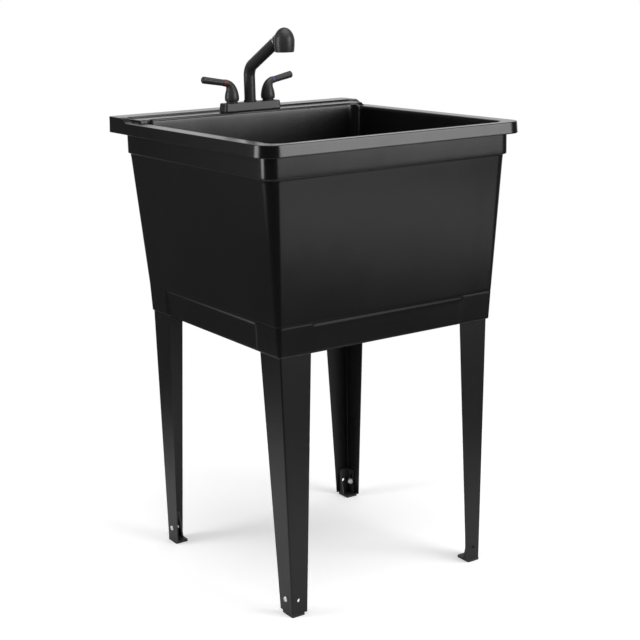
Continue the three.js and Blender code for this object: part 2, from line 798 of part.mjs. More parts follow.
// A levelling foot: base plate, two upright flanges against the leg's inner faces and a
// triangular gusset, slotted so that it can slide down the leg
function footSolid(side, end) {
  const fold = foldAt(side, end, 0);
  const inner = LEG_SHEET + GAP;
  const spanX = [fold.x, fold.x - side * FOOT_BASE_X];
  const spanY = [fold.y, fold.y - end * FOOT_BASE_Y];
  const plate = box(
    Math.min(...spanX), Math.max(...spanX), Math.min(...spanY), Math.max(...spanY),
    0, FOOT_BASE,
  );
  const flangeLength = FOOT_FLANGE_LENGTH - inner;
  const flanges = loft([FOOT_BASE - 1, FOOT_HEIGHT].map((z) => {
    const corner = foldAt(side, end, z);
    corner.x -= side * inner;
    corner.y -= end * inner;
    return {
      z,
      outline: angleOutline(corner, side, end, [flangeLength, flangeLength], FOOT_FLANGE),
    };
  }));
  const gussetEnd = fold.x - side * FOOT_FLANGE_LENGTH;
  const gussetY = foldAt(side, end, FOOT_HEIGHT).y - end * (inner + FOOT_FLANGE / 2);
  const profile = new THREE.Shape([
    new THREE.Vector2(gussetY, FOOT_BASE - 1),
    new THREE.Vector2(gussetY - end * FOOT_GUSSET_REACH, FOOT_BASE - 1),
    new THREE.Vector2(gussetY - end * FOOT_GUSSET_REACH, FOOT_BASE + 2),
    new THREE.Vector2(gussetY, FOOT_HEIGHT - 1),
  ]);
  const gusset = new THREE.ExtrudeGeometry(profile, { depth: FOOT_GUSSET, bevelEnabled: false });
  gusset.rotateX(Math.PI / 2).rotateZ(Math.PI / 2);
  gusset.translate(Math.min(gussetEnd, gussetEnd + side * FOOT_GUSSET), 0, 0);
  const slotWidth = LEG_HOLE;
  const slotBottom = LEG_HOLE_HEIGHT;
  const slotTop = LEG_HOLE_HEIGHT + FOOT_TRAVEL;
  const screw = screwPlace(side, end);
  const along = new THREE.Vector3(1, 0, 0);
  const slot = unite([
    aim(cylinder(slotWidth, -12, 12, SMALL_ROUND_STEPS), screw, along),
    aim(cylinder(slotWidth, -12, 12, SMALL_ROUND_STEPS),
      screw.clone().setZ(slotTop), along),
    box(screw.x - 12, screw.x + 12, screw.y - slotWidth / 2, screw.y + slotWidth / 2,
      slotBottom, slotTop),
  ]);
  const spareX = foldAt(side, end, LEG_HOLE_HEIGHT).x - side * LEG_HOLE_SETBACK_X;
  const spareY = foldAt(side, end, LEG_HOLE_HEIGHT).y;
  const spare = new THREE.Vector3(spareX, spareY, LEG_HOLE_HEIGHT);
  const hole = aim(cylinder(FOOT_SPARE_HOLE, -10, 10, SMALL_ROUND_STEPS), spare,
    new THREE.Vector3(0, 1, 0));
  return plate.add(flanges).add(solid(gusset)).subtract(slot).subtract(hole);
}

// A pan-head screw from outside the side flange, and its nut inside the foot's flange
function footScrewSolid(side, end) {
  const origin = screwPlace(side, end);
  const outward = new THREE.Vector3(side, 0, 0);
  const half = FOOT_SCREW_HEAD / 2;
  const head = turned([
    [0, GAP], [half, GAP], [half, GAP + 0.9],
    [half * 0.82, GAP + FOOT_SCREW_HEAD_HEIGHT * 0.8],
    [half * 0.4, GAP + FOOT_SCREW_HEAD_HEIGHT], [0, GAP + FOOT_SCREW_HEAD_HEIGHT],
  ], SMALL_ROUND_STEPS);
  const shank = cylinder(FOOT_SCREW, -FOOT_SCREW_LENGTH, GAP + 0.5, SMALL_ROUND_STEPS);
  return aim(head.add(shank), origin, outward);
}

function footNutSolid(side, end) {
  const origin = screwPlace(side, end);
  const seat = -(LEG_SHEET + GAP + FOOT_FLANGE + GAP);
  const nut = hexNut(FOOT_NUT, FOOT_SCREW + 2 * GAP, seat - FOOT_NUT_HEIGHT, seat);
  return aim(nut, origin, new THREE.Vector3(side, 0, 0));
}

// ---------------------------------------------------------------------------
// Drain
// ---------------------------------------------------------------------------

const flangeTop = floorCentre;
const flangeUnder = flangeTop - DRAIN_FLANGE_THICKNESS;
const drainBottom = flangeUnder - DRAIN_BODY_LENGTH;
const floorUnder = floorCentre - WALL;
const gasketUnder = floorUnder - GAP - DRAIN_GASKET_THICKNESS;
const nutUnder = gasketUnder - GAP - DRAIN_NUT_HEIGHT;
const tailpieceTop = drainBottom - GAP;
const tailpieceFlangeUnder = tailpieceTop - TAILPIECE_FLANGE_THICKNESS;
const washerUnder = tailpieceFlangeUnder - GAP - SLIP_WASHER_HEIGHT;
const slipNutShelf = washerUnder - GAP;

function drainBodySolid() {
  const bore = DRAIN_BORE / 2;
  const thread = DRAIN_THREAD / 2;
  const ledge = flangeTop - DRAIN_GRID_DEPTH;
  return turned([
    [bore - 2.5, drainBottom], [thread, drainBottom], [thread, flangeUnder],
    [DRAIN_FLANGE / 2 - 3, flangeUnder], [DRAIN_FLANGE / 2, flangeUnder + 1.5],
    [DRAIN_FLANGE / 2, flangeTop - 1], [bore + 4, flangeTop - 1.6], [bore, flangeTop - 4],
    [bore, ledge], [bore - 2.5, ledge],
  ]);
}

function drainGridSolid() {
  const bottom = flangeTop - DRAIN_GRID_DEPTH + GAP;
  const top = bottom + DRAIN_GRID_THICKNESS;
  const outer = DRAIN_BORE - DRAW;
  const rim = tube(outer, outer - 6, bottom, top);
  const bars = [];
  for (let i = 0; i < DRAIN_GRID_BARS; i += 1) {
    const offset = (i - (DRAIN_GRID_BARS - 1) / 2) * outer / (DRAIN_GRID_BARS + 1);
    const near = offset - DRAIN_GRID_BAR / 2;
    const far = offset + DRAIN_GRID_BAR / 2;
    const reach = Math.sqrt((outer / 2 - 1) ** 2 - far ** 2) - 0.5;
    const reachSafe = Math.min(reach, Math.sqrt((outer / 2 - 1) ** 2 - near ** 2) - 0.5);
    bars.push(box(near, far, -reachSafe, reachSafe, bottom, top));
    bars.push(box(-reachSafe, reachSafe, near, far, bottom, top));
  }
  return unite([rim, ...bars]);
}

function tailpieceSolid() {
  const inner = TAILPIECE / 2 - TAILPIECE_WALL;
  return turned([
    [inner, tailpieceTop - TAILPIECE_LENGTH], [TAILPIECE / 2, tailpieceTop - TAILPIECE_LENGTH],
    [TAILPIECE / 2, tailpieceFlangeUnder], [TAILPIECE_FLANGE / 2, tailpieceFlangeUnder],
    [TAILPIECE_FLANGE / 2, tailpieceTop], [inner, tailpieceTop],
  ]);
}

// The nut grips the drain body's thread and draws the tailpiece's flange up against it
function slipNutSolid() {
  const shelf = slipNutShelf;
  const nut = cylinder(SLIP_NUT / Math.cos(Math.PI / 8), shelf - 3, shelf - 3 + SLIP_NUT_HEIGHT, 8);
  return nut
    .subtract(cylinder(DRAIN_THREAD + DRAW, shelf, shelf + SLIP_NUT_HEIGHT))
    .subtract(cylinder(TAILPIECE + DRAW, shelf - 4, shelf + 1));
}

function stopperSolid() {
  const top = flangeTop - 0.4;
  const bottom = top - STOPPER_DEPTH;
  const wide = DRAIN_BORE / 2 - GAP;
  const knob = STOPPER_KNOB / 2;
  const crown = top + STOPPER_KNOB_HEIGHT;
  return turned([
    [0, bottom], [wide - STOPPER_TAPER, bottom], [wide, top - 4.5], [wide, top - 3.6],
    [wide + 3, top - 0.9], [wide + 3, top + 1], [knob * 0.8, top + 2],
    [knob * 0.55, top + 5], [knob, crown - 3], [knob * 0.8, crown], [0, crown],
  ]);
}

// ---------------------------------------------------------------------------
// Faucet base, gasket, shanks and nuts
// ---------------------------------------------------------------------------

function basePlan(endInset, sideInset) {
  return roundedPlan({
    halfWidth: BASE_LENGTH / 2 - endInset,
    front: -BASE_WIDTH / 2 + sideInset,
    rear: BASE_WIDTH / 2 - sideInset,
    frontRadius: BASE_CORNER_RADIUS - sideInset,
    rearRadius: BASE_CORNER_RADIUS - sideInset,
  });
}

function faucetBaseSolid() {
  const roundFoot = baseTop - BASE_TOP_ROUND;
  let base = loft([
    { z: baseBottom, outline: basePlan(0, 0) },
    { z: roundFoot, outline: basePlan(BASE_END_DRAFT, BASE_SIDE_DRAFT) },
    {
      z: baseTop,
      outline: basePlan(BASE_END_DRAFT + BASE_TOP_ROUND, BASE_SIDE_DRAFT + BASE_TOP_ROUND),
    },
  ]);
  for (const side of [LEFT, RIGHT]) {
    const bore = cylinder(CARTRIDGE + DRAW, baseBottom - 1, baseTop + 1);
    base = base.subtract(place(bore, side * HANDLE_SPACING / 2, 0));
    const coreX = side * HANDLE_SPACING / 4;
    base = base.subtract(box(
      coreX - BASE_CORE_LENGTH / 2, coreX + BASE_CORE_LENGTH / 2,
      -BASE_CORE_WIDTH / 2, BASE_CORE_WIDTH / 2,
      baseBottom - 1, baseBottom + BASE_CORE_DEPTH,
    ));
  }
  const bushOuter = SPOUT_STUB + DRAW + 2 * BUSH_WALL;
  return base.subtract(cylinder(bushOuter + DRAW, baseBottom - 1, baseTop + 1));
}

function faucetGasketSolid() {
  let gasket = loft([gasketBottom, gasketBottom + FAUCET_GASKET].map((z) => ({
    z, outline: basePlan(FAUCET_GASKET_INSET, FAUCET_GASKET_INSET),
  })));
  for (const x of [-HANDLE_SPACING / 2, 0, HANDLE_SPACING / 2]) {
    gasket = gasket.subtract(place(
      cylinder(SHANK_HOLE, gasketBottom - 1, gasketBottom + FAUCET_GASKET + 1), x, 0,
    ));
  }
  return gasket;
}

function shankSolid() {
  return tube(SHANK, SHANK_BORE, baseBottom - GAP - SHANK_LENGTH, baseBottom - GAP);
}

function shankNutSolid(thread) {
  const top = deckUnderside - GAP;
  return hexNut(SHANK_NUT, thread + DRAW, top - SHANK_NUT_HEIGHT, top);
}

function hoseGuideSolid() {
  return tube(HOSE_GUIDE, HOSE_GUIDE_BORE,
    baseBottom - GAP - HOSE_GUIDE_LENGTH, baseBottom - GAP);
}

// ---------------------------------------------------------------------------
// Valves and handles. A handle is drawn about its own axis, with heights above the base
// ---------------------------------------------------------------------------

const bonnetTop = GAP + BONNET_HEIGHT;
const handleBottom = bonnetTop + GAP;
const noseTop = CARTRIDGE_NOSE_HEIGHT;
const stemBottom = noseTop + GAP;
const stemTop = stemBottom + STEM_LENGTH;

function cartridgeSolid() {
  const nose = CARTRIDGE_NOSE / 2;
  const body = CARTRIDGE / 2;
  const bottom = -BASE_HEIGHT + GAP;
  return turned([
    [0, bottom], [body, bottom], [body, 0], [nose, 0], [nose, noseTop], [0, noseTop],
  ]);
}

function leverDirection(side) {
  const rise = THREE.MathUtils.degToRad(LEVER_RISE_ANGLE);
  const sweep = THREE.MathUtils.degToRad(LEVER_SWEEP_ANGLE);
  return new THREE.Vector3(
    side * Math.cos(rise) * Math.cos(sweep), Math.cos(rise) * Math.sin(sweep), Math.sin(rise),
  );
}

function leverCorner() {
  return new THREE.Vector3(0, 0, handleBottom + LEVER_HEIGHT);
}

function handleSolid(side) {
  const foot = handleBottom;
  const corner = leverCorner();
  const direction = leverDirection(side);
  const bulb = turned([
    [0, foot], [BULB_FOOT_RADIUS, foot],
    [BULB_RADIUS - 0.4, foot + 4], [BULB_RADIUS, foot + 8], [BULB_RADIUS - 0.7, foot + 14],
    [(BULB_RADIUS + BULB_NECK_RADIUS) / 2, foot + 20.5],
    [BULB_NECK_RADIUS, foot + BULB_HEIGHT - 3], [LEVER / 2, foot + BULB_HEIGHT],
    [0, foot + BULB_HEIGHT],
  ]);
  const tip = corner.clone().addScaledVector(direction, LEVER_REACH - LEVER_TIP_CHAMFER);
  const start = new THREE.Vector3(0, 0, foot + 18);
  const lever = bar(new BentPath(start, corner, tip, LEVER_BEND), LEVER, 14, SMALL_ROUND_STEPS / 2);
  const swell = solid(new THREE.CylinderGeometry(
    LEVER_TIP / 2, LEVER / 2 - 0.3, LEVER_REACH / 2, SMALL_ROUND_STEPS,
  ).rotateX(Math.PI / 2).translate(0, 0, LEVER_REACH * 3 / 4 - LEVER_TIP_CHAMFER));
  const nose = solid(new THREE.CylinderGeometry(
    LEVER_TIP / 2 - LEVER_TIP_CHAMFER, LEVER_TIP / 2, LEVER_TIP_CHAMFER, SMALL_ROUND_STEPS,
  ).rotateX(Math.PI / 2).translate(0, 0, LEVER_REACH - LEVER_TIP_CHAMFER / 2));
  const groove = tube(LEVER + 4, LEVER - 2 * BAND_DEPTH, BAND_START - GAP,
    BAND_START + BAND_LENGTH + GAP, SMALL_ROUND_STEPS);
  const hollow = cylinder(CARTRIDGE_NOSE + 2 * DRAW, foot - 1, noseTop + 2 * GAP);
  const socket = cylinder(STEM + 2 * GAP, foot, stemTop + GAP, SMALL_ROUND_STEPS);
  const screwHole = aim(
    cylinder(SET_SCREW + 2 * GAP, STEM / 2, BULB_RADIUS + 2, SMALL_ROUND_STEPS / 2),
    new THREE.Vector3(0, 0, foot + SET_SCREW_HEIGHT), new THREE.Vector3(0, 1, 0),
  );
  return bulb
    .add(lever)
    .add(aim(swell.add(nose), corner, direction))
    .subtract(aim(groove, corner, direction))
    .subtract(hollow)
    .subtract(socket)
    .subtract(screwHole);
}

function indexBandSolid(side) {
  const ring = tube(LEVER + 0.6, LEVER - 2 * BAND_DEPTH + 2 * GAP, BAND_START,
    BAND_START + BAND_LENGTH, SMALL_ROUND_STEPS);
  return aim(ring, leverCorner(), leverDirection(side));
}

function setScrewSolid() {
  const bottom = STEM / 2 + GAP;
  return aim(
    cylinder(SET_SCREW, bottom, bottom + SET_SCREW_LENGTH, SMALL_ROUND_STEPS / 2),
    new THREE.Vector3(0, 0, handleBottom + SET_SCREW_HEIGHT), new THREE.Vector3(0, 1, 0),
  );
}

// ---------------------------------------------------------------------------
// Spout, hose and spray head, drawn about the spout's upright axis at its true height
// ---------------------------------------------------------------------------

const rise = THREE.MathUtils.degToRad(SPOUT_RISE_ANGLE);
const armDirection = new THREE.Vector3(0, -Math.cos(rise), Math.sin(rise));
const spoutCorner = new THREE.Vector3(0, 0, spoutCornerHeight);
const spoutFoot = baseTop + GAP;
const stubBottom = spoutFoot - SPOUT_STUB_LENGTH;
const dockPlane = SPOUT_ARM + GAP + DOCK_RING_THICKNESS + GAP;
const bendSetback = SPOUT_BEND_RADIUS * Math.tan((Math.PI / 2 - rise) / 2);

function alongArm(distance) {
  return spoutCorner.clone().addScaledVector(armDirection, distance);
}

function spoutPath(bottom, reach) {
  const start = new THREE.Vector3(0, 0, bottom);
  return new BentPath(start, spoutCorner, alongArm(reach), SPOUT_BEND_RADIUS);
}

const ringHeight = (stubBottom + spoutFoot) / 2;

function spoutSolid() {
  const outside = bar(spoutPath(spoutFoot, SPOUT_ARM), SPOUT, SPOUT_STEPS, ROUND_STEPS / 2);
  const bore = bar(spoutPath(spoutFoot + 4, SPOUT_ARM + 3), SPOUT_BORE, SPOUT_STEPS,
    SMALL_ROUND_STEPS / 2);
  const stub = cylinder(SPOUT_STUB, stubBottom, spoutFoot + 1);
  const stubBore = cylinder(SPOUT_STUB_BORE, stubBottom - 1, spoutFoot + 5);
  const groove = tube(SPOUT_STUB + 4, SPOUT_STUB - 2 * O_RING_DEPTH,
    ringHeight - O_RING / 2 - GAP, ringHeight + O_RING / 2 + GAP);
  return outside.add(stub).subtract(bore).subtract(stubBore).subtract(groove);
}

function spoutRingSolid() {
  const inner = SPOUT_STUB - 2 * O_RING_DEPTH + GAP;
  return tube(SPOUT_STUB + GAP, inner, ringHeight - O_RING / 2, ringHeight + O_RING / 2);
}

function bushSolid() {
  const inner = SPOUT_STUB + DRAW + GAP;
  return tube(SPOUT_STUB + DRAW + 2 * BUSH_WALL, inner, baseBottom + GAP, baseTop);
}

function collarRingSolid() {
  return tube(SPOUT_COLLAR, SPOUT + 2 * GAP, baseTop + GAP, baseTop + SPOUT_COLLAR_HEIGHT);
}

function dockRingSolid() {
  const start = SPOUT_ARM + GAP;
  return aim(tube(DOCK_RING, SPOUT_BORE, start, start + DOCK_RING_THICKNESS),
    spoutCorner, armDirection);
}

// The outer dome, turned about an upright axis, from its open foot to its crown
function domeProfile(inset) {
  const foot = spoutCornerHeight + HEAD_FOOT_ABOVE_CORNER;
  const waist = foot + 20;
  const crown = foot + HEAD_HEIGHT - inset;
  const points = [[0, foot], [HEAD_FOOT_RADIUS - inset, foot], [HEAD_RADIUS - 0.6 - inset, foot + 10]];
  for (let step = 0; step <= 6; step += 1) {
    const angle = step / 6 * Math.PI / 2;
    points.push([
      step === 6 ? 0 : (HEAD_RADIUS - inset) * Math.cos(angle),
      waist + (crown - waist) * Math.sin(angle),
    ]);
  }
  return points;
}

const headY = -HEAD_REACH;
const headFoot = spoutCornerHeight + HEAD_FOOT_ABOVE_CORNER;
const faceRadius = HEAD_FOOT_RADIUS - HEAD_WALL;

function sprayHeadSolid() {
  const dome = place(turned(domeProfile(0)), 0, headY);
  const hollow = place(turned(domeProfile(HEAD_WALL)), 0, headY, -0.01);
  const mouth = place(cylinder(2 * faceRadius, headFoot - 1, headFoot + 6), 0, headY);
  const neck = aim(cylinder(SPOUT, dockPlane, dockPlane + 12), spoutCorner, armDirection);
  const behind = aim(box(-60, 60, -60, 60, dockPlane - 60, dockPlane), spoutCorner, armDirection);
  const plug = aim(cylinder(PLUG, dockPlane - PLUG_LENGTH, dockPlane + 6, SMALL_ROUND_STEPS),
    spoutCorner, armDirection);
  const plugBore = aim(
    cylinder(PLUG_BORE, dockPlane - PLUG_LENGTH - 1, dockPlane + 16, SMALL_ROUND_STEPS),
    spoutCorner, armDirection,
  );
  const back = aim(cylinder(SPOUT - 2, dockPlane, dockPlane + 4), spoutCorner, armDirection);
  const shell = dome.subtract(behind);
  return shell
    .subtract(hollow.subtract(aim(box(-60, 60, -60, 60, dockPlane - 60, dockPlane + HEAD_WALL),
      spoutCorner, armDirection)))
    .subtract(mouth)
    .add(neck.intersect(dome).add(back).subtract(mouth))
    .add(plug)
    .subtract(plugBore);
}

function sprayFaceSolid() {
  const bottom = headFoot + 0.8;
  const top = bottom + FACE_THICKNESS;
  const outer = faceRadius - GAP;
  let face = cylinder(2 * outer, bottom, top);
  face = face.subtract(cylinder(FACE_CENTRE_BORE, bottom - 1, top + 1, SMALL_ROUND_STEPS));
  for (let i = 0; i < FACE_NOZZLES; i += 1) {
    const angle = 2 * Math.PI * i / FACE_NOZZLES;
    const reach = outer * 0.66;
    const nozzle = cylinder(FACE_NOZZLE, bottom - 1, top + 1, 6);
    face = face.subtract(place(nozzle, reach * Math.cos(angle), reach * Math.sin(angle)));
  }
  return place(face, 0, headY);
}

const plugEnd = dockPlane - PLUG_LENGTH;
const hoseEnd = plugEnd - GAP;
const hoseStart = bendSetback + 4;

function hoseSolid() {
  const hose = tube(HOSE, HOSE - 4, hoseStart, hoseEnd, SMALL_ROUND_STEPS);
  return aim(hose, spoutCorner, armDirection);
}

function ferruleSolid() {
  const ferrule = tube(FERRULE, HOSE + 2 * GAP, hoseEnd - FERRULE_LENGTH, hoseEnd,
    SMALL_ROUND_STEPS);
  return aim(ferrule, spoutCorner, armDirection);
}

// ---------------------------------------------------------------------------
// The assembly
// ---------------------------------------------------------------------------

addPart('tub', tubSolid(), tubPlastic);

for (const [sideName, side] of [['left', LEFT], ['right', RIGHT]]) {
  for (const [endName, end] of [['front', FRONT], ['rear', REAR]]) {
    const corner = `${endName}_${sideName}`;
    addPart(`leg_${corner}`, legSolid(side, end), legPaint);
    addPart(`foot_${corner}`, footSolid(side, end), footPlastic);
    addPart(`foot_screw_${corner}`, footScrewSolid(side, end), screwSteel);
    addPart(`foot_nut_${corner}`, footNutSolid(side, end), screwSteel);
  }
}

const drainParts = [
  ['drain_body', drainBodySolid(), drainPlastic],
  ['drain_grid', drainGridSolid(), drainPlastic],
  ['drain_gasket', tube(DRAIN_GASKET, DRAIN_THREAD + DRAW, gasketUnder, floorUnder - GAP), rubber],
  ['drain_locknut', hexNut(DRAIN_NUT, DRAIN_THREAD + DRAW, nutUnder, gasketUnder - GAP),
    drainPlastic],
  ['drain_tailpiece', tailpieceSolid(), drainPlastic],
  ['drain_slip_washer', tube(TAILPIECE_FLANGE, TAILPIECE + DRAW, washerUnder,
    tailpieceFlangeUnder - GAP), rubber],
  ['drain_slip_nut', slipNutSolid(), drainPlastic],
  ['drain_stopper', stopperSolid(), rubber],
];
for (const [name, body, material] of drainParts) {
  addPart(name, place(body, 0, drainY), material);
}

const faucetParts = [
  ['faucet_base', faucetBaseSolid(), faucetPlastic],
  ['faucet_gasket', faucetGasketSolid(), rubber],
  ['hose_guide', hoseGuideSolid(), whitePlastic],
  ['hose_guide_nut', shankNutSolid(HOSE_GUIDE), whitePlastic],
  ['spout', spoutSolid(), faucetPlastic],
  ['spout_collar', collarRingSolid(), faucetPlastic],
  ['spout_bush', bushSolid(), whitePlastic],
  ['spout_o_ring', spoutRingSolid(), rubber],
  ['dock_ring', dockRingSolid(), dockMetal],
  ['spray_head', sprayHeadSolid(), faucetPlastic],
  ['spray_face', sprayFaceSolid(), whitePlastic],
  ['spray_hose', hoseSolid(), hoseGrey],
  ['hose_ferrule', ferruleSolid(), dockMetal],
];
for (const [name, body, material] of faucetParts) {
  addPart(name, place(body, 0, faucetY), material);
}

for (const [name, side, indexColour] of [['hot', LEFT, hotRed], ['cold', RIGHT, coldBlue]]) {
  const x = side * HANDLE_SPACING / 2;
  const stem = cylinder(STEM, stemBottom, stemTop, SMALL_ROUND_STEPS);
  const aboveBase = [
    [`${name}_cartridge`, cartridgeSolid(), brass],
    [`${name}_bonnet`, tube(BONNET, CARTRIDGE_NOSE + DRAW, GAP, bonnetTop), faucetPlastic],
    [`${name}_stem`, stem, brass],
    [`${name}_handle`, handleSolid(side), faucetPlastic],
    [`${name}_index_band`, indexBandSolid(side), indexColour],
    [`${name}_handle_screw`, setScrewSolid(), screwSteel],
  ];
  for (const [partName, body, material] of aboveBase) {
    addPart(partName, place(body, x, faucetY, baseTop), material);
  }
  addPart(`${name}_shank`, place(shankSolid(), x, faucetY), whitePlastic);
  addPart(`${name}_shank_nut`, place(shankNutSolid(SHANK), x, faucetY), whitePlastic);
}

export default sink;
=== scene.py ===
"""Shapes, looks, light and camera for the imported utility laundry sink.

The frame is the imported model's: +Z up, -Y the front, +X to the right from the front.
Shapes are drawn in millimetres and scaled to metres as they become meshes.
"""

from math import cos, exp, pi, radians, sin, tan

import bmesh
import bpy
import numpy as np
from mathutils import Matrix, Vector


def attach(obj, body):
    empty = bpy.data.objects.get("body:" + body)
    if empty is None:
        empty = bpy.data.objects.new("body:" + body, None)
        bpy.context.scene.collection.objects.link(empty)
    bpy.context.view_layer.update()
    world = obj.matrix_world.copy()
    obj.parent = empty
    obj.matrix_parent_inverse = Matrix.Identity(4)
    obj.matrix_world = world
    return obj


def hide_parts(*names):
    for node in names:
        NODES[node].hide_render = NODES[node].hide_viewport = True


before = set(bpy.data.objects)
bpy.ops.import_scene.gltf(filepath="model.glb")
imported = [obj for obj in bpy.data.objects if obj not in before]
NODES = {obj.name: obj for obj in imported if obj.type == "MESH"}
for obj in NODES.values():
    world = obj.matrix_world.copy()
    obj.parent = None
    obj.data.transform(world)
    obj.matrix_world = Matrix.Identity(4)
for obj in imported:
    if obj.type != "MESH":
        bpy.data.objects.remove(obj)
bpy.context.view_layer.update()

MM = 0.001
PHOTO_SIDE = 640
LEFT, RIGHT = -1, 1
FRONT, REAR = -1, 1
GAP = 0.3
DRILL_REACH = 10.0
BEVEL_ANGLE = 32.0

# Tub
RIM_HEIGHT = 864.0
RIM_WIDTH = 560.0
RIM_DEPTH = 582.0
RIM_BAND = 21.5
RIM_FLARE = 1.5
RIM_FRONT_RADIUS = 34.0
RIM_REAR_RADIUS = 9.0
RIM_INNER_ROUND = 6.0
RIM_EDGE_ROUND = 1.4
PLATE = 4.5
BAND_WALL = 3.5
LEDGE_HEIGHT = 9.0
LEDGE_DEPTH = 48.0
LEDGE_SLOPE = 28.0
LEDGE_STEP = 3.0
LEDGE_STEP_WIDTH = 4.0
DECK_DEPTH = 47.0
DECK_HALF = 260.0
DECK_END_WIDTH = 5.0
DECK_RISE_START = 10.0
DECK_RISE_LENGTH = 8.0
DECK_HOLE_RADIUS = 11.0
SIDE_OVERHANG = 16.8
FRONT_OVERHANG = 18.6
REAR_OVERHANG = 38.3
COLLAR_DEPTH = 60.0
COLLAR_STEP = 4.0
COLLAR_FRONT_RADIUS = 22.0
COLLAR_REAR_RADIUS = 14.0
TUB_DEPTH = 373.0
SIDE_TAPER = 23.2
FRONT_TAPER = 22.1
REAR_TAPER = 18.2
WALL = 4.5
BODY_TOP_RADIUS = 24.0
BODY_LOW_RADIUS = 10.0
BODY_REAR_RADIUS = 12.0
SKIRT_FOOT_RADIUS = 6.0
BOWL_HALF_WIDTH = 247.0
BOWL_SIDE_TAPER = 24.3
BOWL_REAR_TAPER = 20.0
BOWL_RADIUS = 20.5
BOWL_DEPTH = 323.0
DRAIN_FROM_FRONT = 259.7
FLOOR_FALL = 8.0
FLOOR_ROUND = 22.0
DRAIN_RECESS_RADIUS = 42.3
DRAIN_RECESS_DEPTH = 3.3
DRAIN_HOLE_RADIUS = 23.3
SKIRT_HEIGHT = 55.0
SKIRT_RECESS = 2.0
SKIRT_GROOVE = 0.3
SKIRT_GROOVE_WIDTH = 2.2
SKIRT_LINE_HEIGHT = 9.0
SKIRT_END_WIDTH = 11.0
SKIRT_FACE_MARGIN = 0.6
SKIRT_CORNER_SHARE = 0.7
POCKET_LENGTH = 74.0
POCKET_BLOCK = 10.0
LEG_TAB_LENGTH = 38.0
ALCOVE_WIDTH = 300.0
ALCOVE_WALL = 4.0

COLLAR_BOTTOM = RIM_HEIGHT - COLLAR_DEPTH
SKIRT_BOTTOM = RIM_HEIGHT - TUB_DEPTH
SKIRT_TOP = SKIRT_BOTTOM + SKIRT_HEIGHT
FLOOR_EDGE = RIM_HEIGHT - BOWL_DEPTH
FLOOR_CENTRE = FLOOR_EDGE - FLOOR_FALL
LEDGE_TOP = RIM_HEIGHT + LEDGE_HEIGHT
LEDGE_FACE = RIM_DEPTH / 2 - LEDGE_DEPTH
DECK_TOP = LEDGE_TOP - LEDGE_STEP
BOWL_REAR = LEDGE_FACE - DECK_DEPTH
PLATE_UNDER = RIM_HEIGHT - PLATE

# Legs and feet
LEG_SHEET = 2.0
LEG_INSET = 4.5
REAR_LEG_SPREAD = 2.5
FRONT_LEG_SIDE_LEAN = 12.0
FRONT_LEG_LEAN = 3.5
REAR_LEG_SIDE_LEAN = 6.0
REAR_LEG_LEAN = 1.5
LEG_TOP_FLANGE_X = 64.0
LEG_TOP_FLANGE_Y = 66.0
LEG_FOOT_FLANGE_X = 32.0
LEG_FOOT_FLANGE_Y = 40.0
LEG_BEND = 3.0
LEG_HOLE = 7.4
LEG_HOLE_HEIGHT = 31.0
LEG_HOLE_SETBACK_X = 16.0
LEG_HOLE_SETBACK_Y = 20.0
FOOT_LIFT = 5.0
FOOT_BASE_X = 27.0
FOOT_BASE_Y = 34.0
FOOT_BASE = 4.7
FOOT_FLANGE = 3.0
FOOT_FLANGE_LENGTH = 26.0
FOOT_HEIGHT = 58.0
FOOT_GUSSET = 3.0
FOOT_SPARE_HOLE = 10.0
FOOT_GUSSET_REACH = 13.0
FOOT_TRAVEL = 15.0
SCREW_HEAD = 10.0
SCREW_HEAD_HEIGHT = 2.6
SCREW_HEAD_EDGE = 0.7
SCREW_HEAD_FULLNESS = 0.7
SCREW_SHANK = 5.6
SCREW_LENGTH = 14.0
SCREW_SLOT_REACH = 2.6
SCREW_SLOT_HALF = 0.5
SCREW_SLOT_DEPTH = 1.3

# Faucet
FAUCET_FROM_LEDGE = 27.0
GASKET_HEIGHT = 2.0
HANDLE_X = 42.0
BASE_HALF_LENGTH = 66.0
BASE_HALF_WIDTH = 15.0
BASE_CORNER = 6.0
BASE_END_DRAFT = 2.4
BASE_SIDE_DRAFT = 1.4
BASE_TOP_ROUND = 1.6
BASE_HEIGHT = 15.3
BASE_VALVE_BORE = 9.8
BASE_SPOUT_BORE = 10.3
SPOUT_RADIUS = 11.5
SPOUT_BORE_RADIUS = 8.5
SPOUT_CORNER_HEIGHT = 66.0
SPOUT_BEND = 26.0
SPOUT_RISE = radians(27.3)
SPOUT_ARM = 121.0
SPOUT_COLLAR_RADIUS = 12.8
SPOUT_COLLAR_TOP = 3.0
DOCK_RADIUS = 12.3
DOCK_LENGTH = 1.8
HANDLE_LIFT = 3.8
HANDLE_HOLLOW = 8.1
STEM_SOCKET = 4.3
HANDLE_SCREW_HOLE = 2.3
LEVER_RADIUS = 6.5
LEVER_TIP_RADIUS = 7.0
LEVER_TIP_CHAMFER = 2.6
LEVER_REACH = 64.0
LEVER_HEIGHT = 33.5
LEVER_RISE = radians(10)
LEVER_SWEEP = radians(7)
BAND_START = 9.4
BAND_LENGTH = 8.0
HEAD_RADIUS = 20.0
HEAD_FOOT_RADIUS = 18.4
HEAD_HEIGHT = 46.5
HEAD_REACH = 134.0
HEAD_FOOT_RISE = 35.4
HEAD_WALL = 2.6
PLUG_LENGTH = 14.0
PLUG_RADIUS = 8.0
WATERWAY_RADIUS = 4.0
NOZZLE_RADIUS = 0.9
NOZZLE_RINGS = ((10, 0.66), (10, 0.5))
HOSE_BORE_RADIUS = 3.5
HOSE_RADIUS = 5.35
HOSE_WEAVE = 0.15
HOSE_RIDGES = 90
SHANK_RADIUS = 10.0
SHANK_BORE_RADIUS = 6.0
SHANK_LENGTH = 54.0
GUIDE_BORE_RADIUS = 7.0
GUIDE_LENGTH = 30.0
LOCK_NUT_FLATS = 26.0
LOCK_NUT_BORE = 20.6
